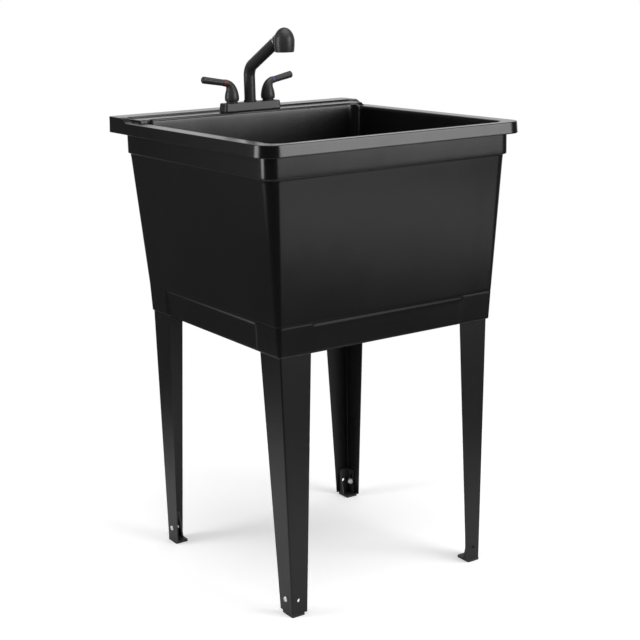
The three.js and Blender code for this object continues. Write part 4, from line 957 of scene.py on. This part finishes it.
def sweep(name, path, radii, steps=40, inner=None):
    """A round bar along a path of points, or a tube where inner radii are given."""
    path = [Vector(p) for p in path]
    tangents = [
        (path[min(i + 1, len(path) - 1)] - path[max(i - 1, 0)]).normalized()
        for i in range(len(path))
    ]
    across = tangents[0].orthogonal().normalized()
    frames = []
    for i, tangent in enumerate(tangents):
        if i:
            across = tangents[i - 1].rotation_difference(tangent) @ across
        frames.append((across.copy(), tangent.cross(across)))

    def ring(i, radius):
        u, v = frames[i]
        return [path[i] + (u * cos(a) + v * sin(a)) * radius
                for a in (2 * pi * k / steps for k in range(steps))]

    rings = [ring(i, r) for i, r in enumerate(radii)]
    if inner is None:
        return loft(name, rings)
    rings += [ring(i, inner[i]) for i in reversed(range(len(path)))]
    return loft(name, rings, closed_loop=True)


def bent_path(start, corner, end, radius, steps):
    """Points along two lines and the arc that joins them."""
    inward = (corner - start).normalized()
    outward = (end - corner).normalized()
    turn = inward.angle(outward)
    setback = radius * tan(turn / 2)
    arc_start = corner - inward * setback
    arc_end = corner + outward * setback
    across = (outward - inward * outward.dot(inward)).normalized()
    points = [start.lerp(arc_start, t) for t in np.linspace(0, 1, 7)[:-1]]
    for step in range(steps + 1):
        angle = turn * step / steps
        points.append(arc_start + inward * radius * sin(angle)
                      + across * radius * (1 - cos(angle)))
    return points + [arc_end.lerp(end, t) for t in np.linspace(0, 1, 9)[1:]]


def at_faucet(points):
    return [p + Vector((0, FAUCET_Y, 0)) for p in points]


def make_spout():
    start = Vector((0, 0, BASE_TOP + GAP))
    end = SPOUT_CORNER + ARM * SPOUT_ARM
    path = at_faucet(bent_path(start, SPOUT_CORNER, end, SPOUT_BEND, 20))
    first, last = path[0], path[-1]
    path = [first, first + Vector((0, 0, 0.6)), *path[1:-1], last - ARM * 0.6, last]
    outer = [SPOUT_RADIUS - 0.5] + [SPOUT_RADIUS] * (len(path) - 2) + [SPOUT_RADIUS - 0.5]
    inner = [SPOUT_BORE_RADIUS] * len(path)
    spout = sweep("spout_tube", path, outer, 56, inner)
    dress(spout, "faucet_plastic", "spout", body="swivel_spout", sharp=40)


def make_collar():
    profile = ring_profile(SPOUT_RADIUS + GAP, SPOUT_COLLAR_RADIUS, GAP, SPOUT_COLLAR_TOP, 0.7)
    collar = shift(lathe("spout_foot_ring", profile), 0, FAUCET_Y, BASE_TOP)
    dress(collar, "faucet_plastic", "spout_collar")


def make_dock_ring():
    start = SPOUT_ARM + GAP
    profile = ring_profile(SPOUT_BORE_RADIUS, DOCK_RADIUS, start, start + DOCK_LENGTH, 0.5)
    ring = along_arm(lathe("docking_ring", profile))
    dress(ring, "dock_metal", "dock_ring", body="swivel_spout")


def dome_profile(inset, foot):
    waist = foot + 20
    crown = foot + HEAD_HEIGHT - inset
    points = [(HEAD_FOOT_RADIUS - inset, foot), (HEAD_RADIUS - 0.9 - inset, foot + 6),
              (HEAD_RADIUS - 0.25 - inset, foot + 13)]
    for step in range(15):
        angle = step / 14 * pi / 2
        points.append((
            (HEAD_RADIUS - inset) * cos(angle) if step < 14 else 0.0,
            waist + (crown - waist) * sin(angle),
        ))
    return points


def make_spray_head():
    foot = SPOUT_CORNER.z + HEAD_FOOT_RISE
    outer = dome_profile(0, foot)
    outer[0:1] = [(HEAD_FOOT_RADIUS - HEAD_WALL, foot + 0.6), (HEAD_FOOT_RADIUS - 1.9, foot),
                  (HEAD_FOOT_RADIUS - 0.8, foot), (HEAD_FOOT_RADIUS - 0.1, foot + 0.6)]
    head_y = FAUCET_Y - HEAD_REACH
    shell = lathe("spray_dome", [(0, foot + 7)]
                  + [(HEAD_FOOT_RADIUS - HEAD_WALL, foot + 7)] + outer, 72)
    shift(shell, 0, head_y)
    combine(shell, [along_arm(block("behind", -60, 60, -60, 60, DOCK - 60, DOCK))])
    neck_profile = [(0, DOCK), (SPOUT_RADIUS - 0.6, DOCK), (SPOUT_RADIUS, DOCK + 0.6),
                    (SPOUT_RADIUS + 0.2, DOCK + 12), (0, DOCK + 12)]
    neck = along_arm(lathe("neck", neck_profile, 56))
    plug_end = DOCK - PLUG_LENGTH
    plug_profile = [(0, plug_end), (PLUG_RADIUS - 0.6, plug_end), (PLUG_RADIUS, plug_end + 0.8),
                    (PLUG_RADIUS, DOCK + 4), (0, DOCK + 4)]
    combine(shell, [neck, along_arm(lathe("plug", plug_profile, 48))], "UNION")
    combine(shell, [along_arm(disc("waterway", WATERWAY_RADIUS, plug_end - 2, DOCK + 8))])
    dress(shell, "faucet_plastic", "spray_head", body="pull_out_spray", width=0.3, sharp=35)


def make_spray_face():
    foot = SPOUT_CORNER.z + HEAD_FOOT_RISE
    outer = HEAD_FOOT_RADIUS - HEAD_WALL - GAP
    profile = rounded([(3.5, foot + 0.8), (5.2, foot + 0.8), (5.8, foot + 1.6),
                       (outer - 2.6, foot + 1.4), (outer - 1.4, foot + 0.8),
                       (outer, foot + 0.8), (outer, foot + 4.8), (3.5, foot + 4.8)], 0.5)
    face = lathe("spray_plate", profile, 64)
    nozzles = []
    for ring, (count, share) in enumerate(NOZZLE_RINGS):
        for i in range(count):
            angle = 2 * pi * (i + ring / 2) / count
            nozzle = disc("nozzle", NOZZLE_RADIUS, foot - 1, foot + 6, 12)
            nozzles.append(shift(nozzle, *polar(outer * share, angle)))
    combine(face, nozzles)
    soften(face, 0.15, sharp=40)
    shift(face, 0, FAUCET_Y - HEAD_REACH)
    seat(face, "white_plastic", body="pull_out_spray", nodes=["spray_face"])


def make_hose():
    """The hose's stretch in the arm, with its woven cover, and the crimped ferrule."""
    setback = SPOUT_BEND * tan((pi / 2 - SPOUT_RISE) / 2)
    start, end = setback + 4, DOCK - PLUG_LENGTH - GAP
    profile = [(HOSE_BORE_RADIUS, start)]
    for i in range(HOSE_RIDGES + 1):
        z = start + (end - start) * i / HOSE_RIDGES
        profile.append((HOSE_RADIUS + HOSE_WEAVE * cos(i * pi), z))
    profile.append((HOSE_BORE_RADIUS, end))
    hose = along_arm(lathe("woven_hose", profile, 32))
    dress(hose, "hose_grey", "spray_hose", body="pull_out_spray", sharp=60)
    ferrule_profile = rounded([(5.8, end - 10), (7, end - 10), (7, end - 6.5), (6.7, end - 6),
                               (6.7, end - 4), (7, end - 3.5), (7, end), (5.8, end)], 0.4)
    ferrule = along_arm(lathe("crimped_ferrule", ferrule_profile, 40))
    dress(ferrule, "dock_metal", "hose_ferrule", body="pull_out_spray", sharp=40)


def lever_path(side, foot):
    """The handle's centre line: up through the body and smoothly over into the lever."""
    corner = Vector((0, 0, foot + LEVER_HEIGHT))
    direction = Vector((side * cos(LEVER_RISE) * cos(LEVER_SWEEP),
                        cos(LEVER_RISE) * sin(LEVER_SWEEP), sin(LEVER_RISE)))
    rise_end = Vector((0, 0, foot + 15))
    over = corner + direction * 13
    path = [Vector((0, 0, foot + d)) for d in (0, 0.8, 2.4, 4.5, 7, 9.5, 12)]
    for step in range(17):
        t = step / 16
        path.append(rise_end * (1 - t) ** 2 + corner * 2 * t * (1 - t) + over * t * t)
    bend_end = len(path) - 1
    path += [corner + direction * d for d in (16, 20, 26, 34, 42, 50, 57)]
    path += [corner + direction * d
             for d in (LEVER_REACH - LEVER_TIP_CHAMFER, LEVER_REACH - 0.5, LEVER_REACH)]
    return path, bend_end, corner, direction


HANDLE_FOOT_RADII = (13.6, 13.9, 14.1, 14.3, 14.3, 14.1, 13.7)
HANDLE_NECK_SHARES = (0.0, 0.18, 0.36, 0.55, 0.72, 1.0)
HANDLE_NECK_RADII = (13.2, 11.6, 10.0, 8.6, 7.6, 6.6)
LEVER_RADII = (6.5, 6.5, 6.55, 6.65, 6.8, 6.95, 7.0)
LEVER_TIP_INSETS = (0, 2.1, 2.9)


def handle_radii(bend_end):
    """Radii along the centre line: a full foot, a waist below the lever, a swollen tip."""
    count = bend_end + 1 - len(HANDLE_FOOT_RADII)
    neck = [float(np.interp(i / (count - 1), HANDLE_NECK_SHARES, HANDLE_NECK_RADII))
            for i in range(count)]
    tip = [LEVER_TIP_RADIUS - inset for inset in LEVER_TIP_INSETS]
    return [*HANDLE_FOOT_RADII, *neck, *LEVER_RADII, *tip]


def make_handle(side, name):
    foot = BASE_TOP + HANDLE_LIFT
    path, bend_end, corner, direction = lever_path(side, foot)
    place = Vector((side * HANDLE_X, FAUCET_Y, 0))
    handle = sweep(f"{name}_lever_handle", [p + place for p in path], handle_radii(bend_end), 48)
    hollow = shift(disc("hollow", HANDLE_HOLLOW, foot - 1, BASE_TOP + 12.6), *place.xy)
    socket = shift(disc("socket", STEM_SOCKET, foot, BASE_TOP + 22.6), *place.xy)
    screw_hole = disc("hole", HANDLE_SCREW_HOLE, 4, 17, 24)
    aim(screw_hole, place + Vector((0, 0, foot + 13)), (0, 1, 0))
    combine(handle, [hollow, socket, screw_hole])
    dress(handle, "faucet_plastic", f"{name}_handle", body=f"{name}_lever", width=0.25, sharp=40)
    band_end = BAND_START + BAND_LENGTH
    profile = rounded([(LEVER_RADIUS - 0.6, BAND_START), (LEVER_RADIUS + 0.75, BAND_START),
                       (LEVER_RADIUS + 0.3, band_end), (LEVER_RADIUS - 0.6, band_end)], 0.4)
    band = aim(lathe(f"{name}_marker", profile, 48), corner + place, direction)
    dress(band, {"hot": "hot_red", "cold": "cold_blue"}[name], f"{name}_index_band", body=f"{name}_lever")


def make_bonnet(side, name):
    profile = rounded([(7.8, 0.3), (11.5, 0.3), (11.5, 2.2), (10.9, 3.5), (7.8, 3.5)], 0.5)
    ring = shift(lathe(f"{name}_seat_ring", profile), side * HANDLE_X, FAUCET_Y, BASE_TOP)
    dress(ring, "faucet_plastic", f"{name}_bonnet")


def thread_ridges(outer, depth, z, stop, pitch, marks):
    """Profile points of a thread's ridges, each with its rise, crest and fall at the marks."""
    rise, crest, fall = marks
    points = []
    while z + pitch < stop:
        points += [(outer - depth, z), (outer, z + rise), (outer, z + crest),
                   (outer - depth, z + fall)]
        z += pitch
    return points


def threaded_tube(name, outer, inner, bottom, top, pitch=1.8, depth=0.55):
    """A tube with ridges at thread pitch on its outside."""
    marks = (pitch * 0.35, pitch * 0.55, pitch * 0.9)
    ridges = thread_ridges(outer, depth, bottom + 0.6, top - 0.6, pitch, marks)
    profile = [(inner, bottom), (outer - depth, bottom), *ridges, (outer - depth, top),
               (inner, top)]
    return lathe(name, profile, 48)


def make_shanks():
    """The supply shanks and the hose guide, each with its lock nut below the deck."""
    top = BASE_BOTTOM - GAP
    nut_foot = DECK_TOP - PLATE - GAP - LOCK_NUT_HEIGHT
    supply = (SHANK_BORE_RADIUS, SHANK_LENGTH)
    guide = (GUIDE_BORE_RADIUS, GUIDE_LENGTH)
    for x, tube, nut_name, node, (bore, length) in (
        (-HANDLE_X, "hot_threaded_shank", "hot_lock_nut", "hot_shank", supply),
        (HANDLE_X, "cold_threaded_shank", "cold_lock_nut", "cold_shank", supply),
        (0, "hose_guide_tube", "hose_guide_lock_nut", "hose_guide", guide),
    ):
        shank = threaded_tube(tube, SHANK_RADIUS, bore, top - length, top)
        dress(shift(shank, x, FAUCET_Y), "white_plastic", node, sharp=30)
        nut = hex_nut(nut_name, LOCK_NUT_FLATS, LOCK_NUT_BORE, LOCK_NUT_HEIGHT)
        dress(shift(nut, x, FAUCET_Y, nut_foot), "white_plastic", f"{node}_nut", width=0.3)


# ---- Drain ----


DRAIN_BORE = 19.5
DRAIN_THREAD = 23.0
DRAIN_FLANGE = 3.0
DRAIN_BODY_LENGTH = 42.0
DRAIN_WALL = 2.5
SEAL_RADIUS = 35.0
SEAL_HEIGHT = 3.0
DRAIN_NUT_FLATS = 64.0
DRAIN_NUT_BORE = 46.6
DRAIN_NUT_HEIGHT = 10.0
PIPE_BORE = 17.0
PIPE_RADIUS = 19.0
PIPE_LENGTH = 54.0
PIPE_COLLAR = 22.5
SLIP_NUT_RADIUS = 28.2
SLIP_NUT_RIDGES = 16
SLIP_NUT_STEPS = 96
DRAIN_BOTTOM = FLOOR_CENTRE - DRAIN_FLANGE - DRAIN_BODY_LENGTH
PIPE_TOP = DRAIN_BOTTOM - GAP


def over_drain(made, z=0.0):
    return shift(made, 0, DRAIN_Y, z)


def make_strainer():
    top = FLOOR_CENTRE
    under = top - DRAIN_FLANGE
    bore, thread, inner = DRAIN_BORE, DRAIN_THREAD, DRAIN_BORE - DRAIN_WALL
    profile = [(inner, DRAIN_BOTTOM), (thread - 0.5, DRAIN_BOTTOM)]
    profile += thread_ridges(thread, 0.6, DRAIN_BOTTOM + 0.8, under - 6, 2.4, (0.8, 1.3, 2.1))
    profile += [(thread, under - 4), (thread, under), (39, under), (41.6, under + 1),
                (42, under + 1.9), (41.6, top - 0.5), (39.5, top - 0.7), (bore + 5, top - 1.5),
                (bore + 1.5, top - 2.4), (bore, top - 4.4), (bore, top - 16), (inner, top - 16)]
    strainer = over_drain(lathe("strainer_body", profile, 72))
    dress(strainer, "drain_plastic", "drain_body", sharp=35)


def make_stopper():
    top = FLOOR_CENTRE - 0.4
    wide = DRAIN_BORE - GAP
    crown = top + 12
    profile = [(0, top - 12), (wide - 2.4, top - 12), (wide - 1.6, top - 11.2),
               (wide, top - 4.5), (wide, top - 3.6), (wide + 3, top - 0.9), (wide + 3.2, top),
               (wide + 2.6, top + 0.9), (8, top + 1.9), (5.2, top + 3), (4.4, top + 5),
               (5.6, crown - 5), (7.6, crown - 3.6), (8, crown - 2.4), (7.4, crown - 0.7),
               (5.4, crown), (0, crown)]
    stopper = over_drain(lathe("rubber_stopper", profile, 64))
    dress(stopper, "rubber", "drain_stopper", body="stopper", sharp=60)


def make_drain_joint():
    """The seal and lock nut under the bowl's floor, the tailpiece and its slip nut."""
    seal_foot = FLOOR_CENTRE - WALL - GAP - SEAL_HEIGHT
    profile = ring_profile(DRAIN_HOLE_RADIUS, SEAL_RADIUS, seal_foot, seal_foot + SEAL_HEIGHT, 0.7)
    dress(over_drain(lathe("drain_seal", profile)), "rubber", "drain_gasket")
    nut = hex_nut("drain_lock_nut", DRAIN_NUT_FLATS, DRAIN_NUT_BORE, DRAIN_NUT_HEIGHT)
    over_drain(nut, seal_foot - GAP - DRAIN_NUT_HEIGHT)
    dress(nut, "drain_plastic", "drain_locknut", width=0.5)

    foot = PIPE_TOP - PIPE_LENGTH
    pipe = [(PIPE_BORE, foot), (PIPE_RADIUS - 0.5, foot), (PIPE_RADIUS, foot + 0.6),
            (PIPE_RADIUS, PIPE_TOP - 5), (PIPE_RADIUS + 0.6, PIPE_TOP - 3.3),
            (PIPE_COLLAR, PIPE_TOP - 3), (PIPE_COLLAR, PIPE_TOP - 0.4),
            (PIPE_COLLAR - 0.5, PIPE_TOP), (PIPE_BORE, PIPE_TOP)]
    tailpiece = over_drain(lathe("tail_pipe", pipe, 64))
    dress(tailpiece, "drain_plastic", "drain_tailpiece", sharp=40)

    shelf = PIPE_TOP - 3 - GAP - 3 - GAP
    rings = []
    for rise, inset in ((-3, 0.8), (-2.3, 0), (13.2, 0), (14, 0.8)):
        ring = []
        for i in range(SLIP_NUT_STEPS):
            angle = 2 * pi * i / SLIP_NUT_STEPS
            ridge = 0.9 * (0.5 + 0.5 * cos(SLIP_NUT_RIDGES * angle)) ** 2
            ring.append((*polar(SLIP_NUT_RADIUS + ridge - inset, angle), shelf + rise))
        rings.append(ring)
    slip = loft("slip_nut_ring", rings)
    combine(slip, [disc("bore", DRAIN_THREAD + GAP, shelf, shelf + 20),
                   disc("bore", PIPE_RADIUS + GAP, shelf - 5, shelf + 1)])
    dress(over_drain(slip), "drain_plastic", "drain_slip_nut", width=0.3)


# ---- Camera, floor and light ----

CAMERA_PLACE = Vector((-1.43928, -2.19066, 1.12765))
CAMERA_AZIMUTH = radians(-33.54)
CAMERA_PITCH = radians(-13.95)
CAMERA_ROLL = radians(-1.31)
FOCAL_PIXELS = 1382.61
SENSOR = 36.0


def make_camera():
    """The photograph's camera, fitted to measured edges of the rim, body and legs."""
    data = bpy.data.cameras.new("photo_camera")
    data.sensor_width = SENSOR
    data.lens = FOCAL_PIXELS * SENSOR / PHOTO_SIDE
    camera = bpy.data.objects.new("photo_camera", data)
    turn = (
        Matrix.Rotation(CAMERA_AZIMUTH, 4, "Z")
        @ Matrix.Rotation(radians(90) + CAMERA_PITCH, 4, "X")
        @ Matrix.Rotation(CAMERA_ROLL, 4, "Z")
    )
    camera.matrix_world = Matrix.Translation(CAMERA_PLACE) @ turn
    bpy.context.scene.collection.objects.link(camera)
    bpy.context.scene.camera = camera


def math_node(tree, operation, first, second):
    node = tree.nodes.new("ShaderNodeMath")
    node.operation = operation
    for socket, value in zip(node.inputs, (first, second)):
        if isinstance(value, float):
            socket.default_value = value
        else:
            tree.links.new(value, socket)
    return node.outputs[0]


def vector_node(tree, operation, vector):
    node = tree.nodes.new("ShaderNodeVectorMath")
    node.operation = operation
    tree.links.new(vector, node.inputs[0])
    return node


def emission(tree, strength):
    node = tree.nodes.new("ShaderNodeEmission")
    tree.links.new(strength, node.inputs["Strength"])
    return node.outputs[0]


def fade(tree, value, start, end, low, high):
    """Runs smoothly from low to high as the value goes from start to end."""
    limits = {"From Min": start, "From Max": end, "To Min": low, "To Max": high}
    node = add_node(tree, "ShaderNodeMapRange", limits)
    node.interpolation_type = "SMOOTHSTEP"
    tree.links.new(value, node.inputs["Value"])
    return node.outputs["Result"]


def rays(tree):
    """1 for camera and transmission rays, and 1 for glossy rays."""
    path = tree.nodes.new("ShaderNodeLightPath")
    direct = math_node(tree, "MAXIMUM", path.outputs["Is Camera Ray"],
                       path.outputs["Is Transmission Ray"])
    return direct, path.outputs["Is Glossy Ray"]


BACKDROP_WAY = (-sin(CAMERA_AZIMUTH), cos(CAMERA_AZIMUTH), 0)
BACKDROP_FADE = (0.62, 0.93)
BACKDROP_LIGHT = 0.92
UNLIT_LIGHT = 0.07
WORLD_LIGHT = 0.4


def studio_glow(tree, way):
    """What a reflection meets: the bright backdrop, or the unlit rest of the studio."""
    facing = vector_node(tree, "DOT_PRODUCT", way)
    facing.inputs[1].default_value = BACKDROP_WAY
    return fade(tree, facing.outputs["Value"], *BACKDROP_FADE, UNLIT_LIGHT, BACKDROP_LIGHT)


def studio_strength(tree, way):
    """White to the eye, the studio's own light in reflections, dimmer on matt surfaces."""
    direct, glossy = rays(tree)
    mirrored = math_node(tree, "MULTIPLY", glossy, studio_glow(tree, way))
    eye = math_node(tree, "MAXIMUM", direct, mirrored)
    matt = math_node(tree, "SUBTRACT", 1.0, math_node(tree, "MAXIMUM", direct, glossy))
    return math_node(tree, "ADD", eye, math_node(tree, "MULTIPLY", matt, WORLD_LIGHT))


FLOOR_RADIUS = 2.3
FLOOR_STEPS = 96
FLOOR_FADE = (0.45, 1.35)
FLOOR_TONE = 0.8
FLOOR_GLOW = 0.3


def make_floor():
    """A pale floor that fades into the white backdrop and keeps the object's shadow."""
    points = [(x, y, 0) for x, y in circle(FLOOR_RADIUS / MM, FLOOR_STEPS)]
    floor = add_object("floor", points, [tuple(range(FLOOR_STEPS))])
    material = bpy.data.materials.new("floor_paper")
    material.use_nodes = True
    tree = material.node_tree
    tree.nodes.clear()
    out = tree.nodes.new("ShaderNodeOutputMaterial")
    paper = (FLOOR_TONE, FLOOR_TONE, FLOOR_TONE, 1)
    diffuse = add_node(tree, "ShaderNodeBsdfDiffuse", {"Color": paper})
    place = tree.nodes.new("ShaderNodeTexCoord").outputs["Object"]
    reach = vector_node(tree, "LENGTH", place)
    way = vector_node(tree, "NORMALIZE", place)
    direct, _ = rays(tree)
    glow = emission(tree, math_node(tree, "MULTIPLY", direct, FLOOR_GLOW))
    add = tree.nodes.new("ShaderNodeAddShader")
    tree.links.new(diffuse.outputs[0], add.inputs[0])
    tree.links.new(glow, add.inputs[1])
    beyond = emission(tree, studio_strength(tree, way.outputs[0]))
    mix = tree.nodes.new("ShaderNodeMixShader")
    away = fade(tree, reach.outputs["Value"], *FLOOR_FADE, 0.0, 1.0)
    tree.links.new(away, mix.inputs["Fac"])
    tree.links.new(add.outputs[0], mix.inputs[1])
    tree.links.new(beyond, mix.inputs[2])
    tree.links.new(mix.outputs[0], out.inputs["Surface"])
    floor.data.materials.append(material)


def make_world():
    world = bpy.data.worlds.new("studio")
    bpy.context.scene.world = world
    world.use_nodes = True
    tree = world.node_tree
    background = tree.nodes["Background"]
    background.inputs["Color"].default_value = (1, 1, 1, 1)
    place = tree.nodes.new("ShaderNodeTexCoord")
    strength = studio_strength(tree, place.outputs["Generated"])
    tree.links.new(strength, background.inputs["Strength"])


def softbox(name, place, target, width, height, radiance):
    """A rectangular lamp of an even brightness, where 1 is as bright as the backdrop."""
    data = bpy.data.lights.new(name, "AREA")
    data.shape = "RECTANGLE"
    data.size = width
    data.size_y = height
    data.energy = radiance * pi * width * height
    lamp = bpy.data.objects.new(name, data)
    lamp.location = place
    way = Vector(target) - Vector(place)
    lamp.rotation_mode = "QUATERNION"
    lamp.rotation_quaternion = way.to_track_quat("-Z", "Y")
    bpy.context.scene.collection.objects.link(lamp)


def make_lamps():
    centre = (0, 0, 0.7)
    softbox("overhead", (0.2, -0.5, 3.3), centre, 2.8, 2.8, 2.6)
    softbox("front_right", (1.47, -2.61, 1.52), (0, 0, 1.22), 1.8, 1.85, 5.6)
    softbox("front_low", (0.95, -2.0, 0.14), (0, 0, 0.5), 1.6, 0.26, 1.2)
    softbox("left", (-1.47, 0.49, 1.1), (-0.28, -0.25, 0.95), 0.75, 1.15, 5.0)


make_tub()
for side, side_name in ((LEFT, "left"), (RIGHT, "right")):
    for end, end_name in ((FRONT, "front"), (REAR, "rear")):
        corner_name = f"{end_name}_{side_name}"
        make_leg(side, end, corner_name)
        make_foot(side, end, corner_name)
        make_foot_screw(side, end, corner_name)
make_strainer()
make_stopper()
make_drain_joint()
make_faucet_base()
make_shanks()
make_collar()
make_spout()
make_dock_ring()
make_spray_head()
make_spray_face()
make_hose()
for side, name in ((LEFT, "hot"), (RIGHT, "cold")):
    make_bonnet(side, name)
    make_handle(side, name)

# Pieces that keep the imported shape, by finish
KEPT = {
    "rubber": ["drain_slip_washer", "faucet_gasket", "spout_o_ring"],
    "drain_plastic": ["drain_grid"],
    "white_plastic": ["spout_bush"],
    "brass": ["hot_cartridge", "hot_stem", "cold_cartridge", "cold_stem"],
    "screw_steel": ["hot_handle_screw", "cold_handle_screw"]
    + [f"foot_nut_{end}_{side}" for end in ("front", "rear") for side in ("left", "right")],
}
for slot, names in KEPT.items():
    for node in names:
        NODES[node].data.materials.clear()
        NODES[node].data.materials.append(MATERIALS[slot])

make_camera()
make_floor()
make_world()
make_lamps()
bpy.context.scene.view_settings.view_transform = "Standard"
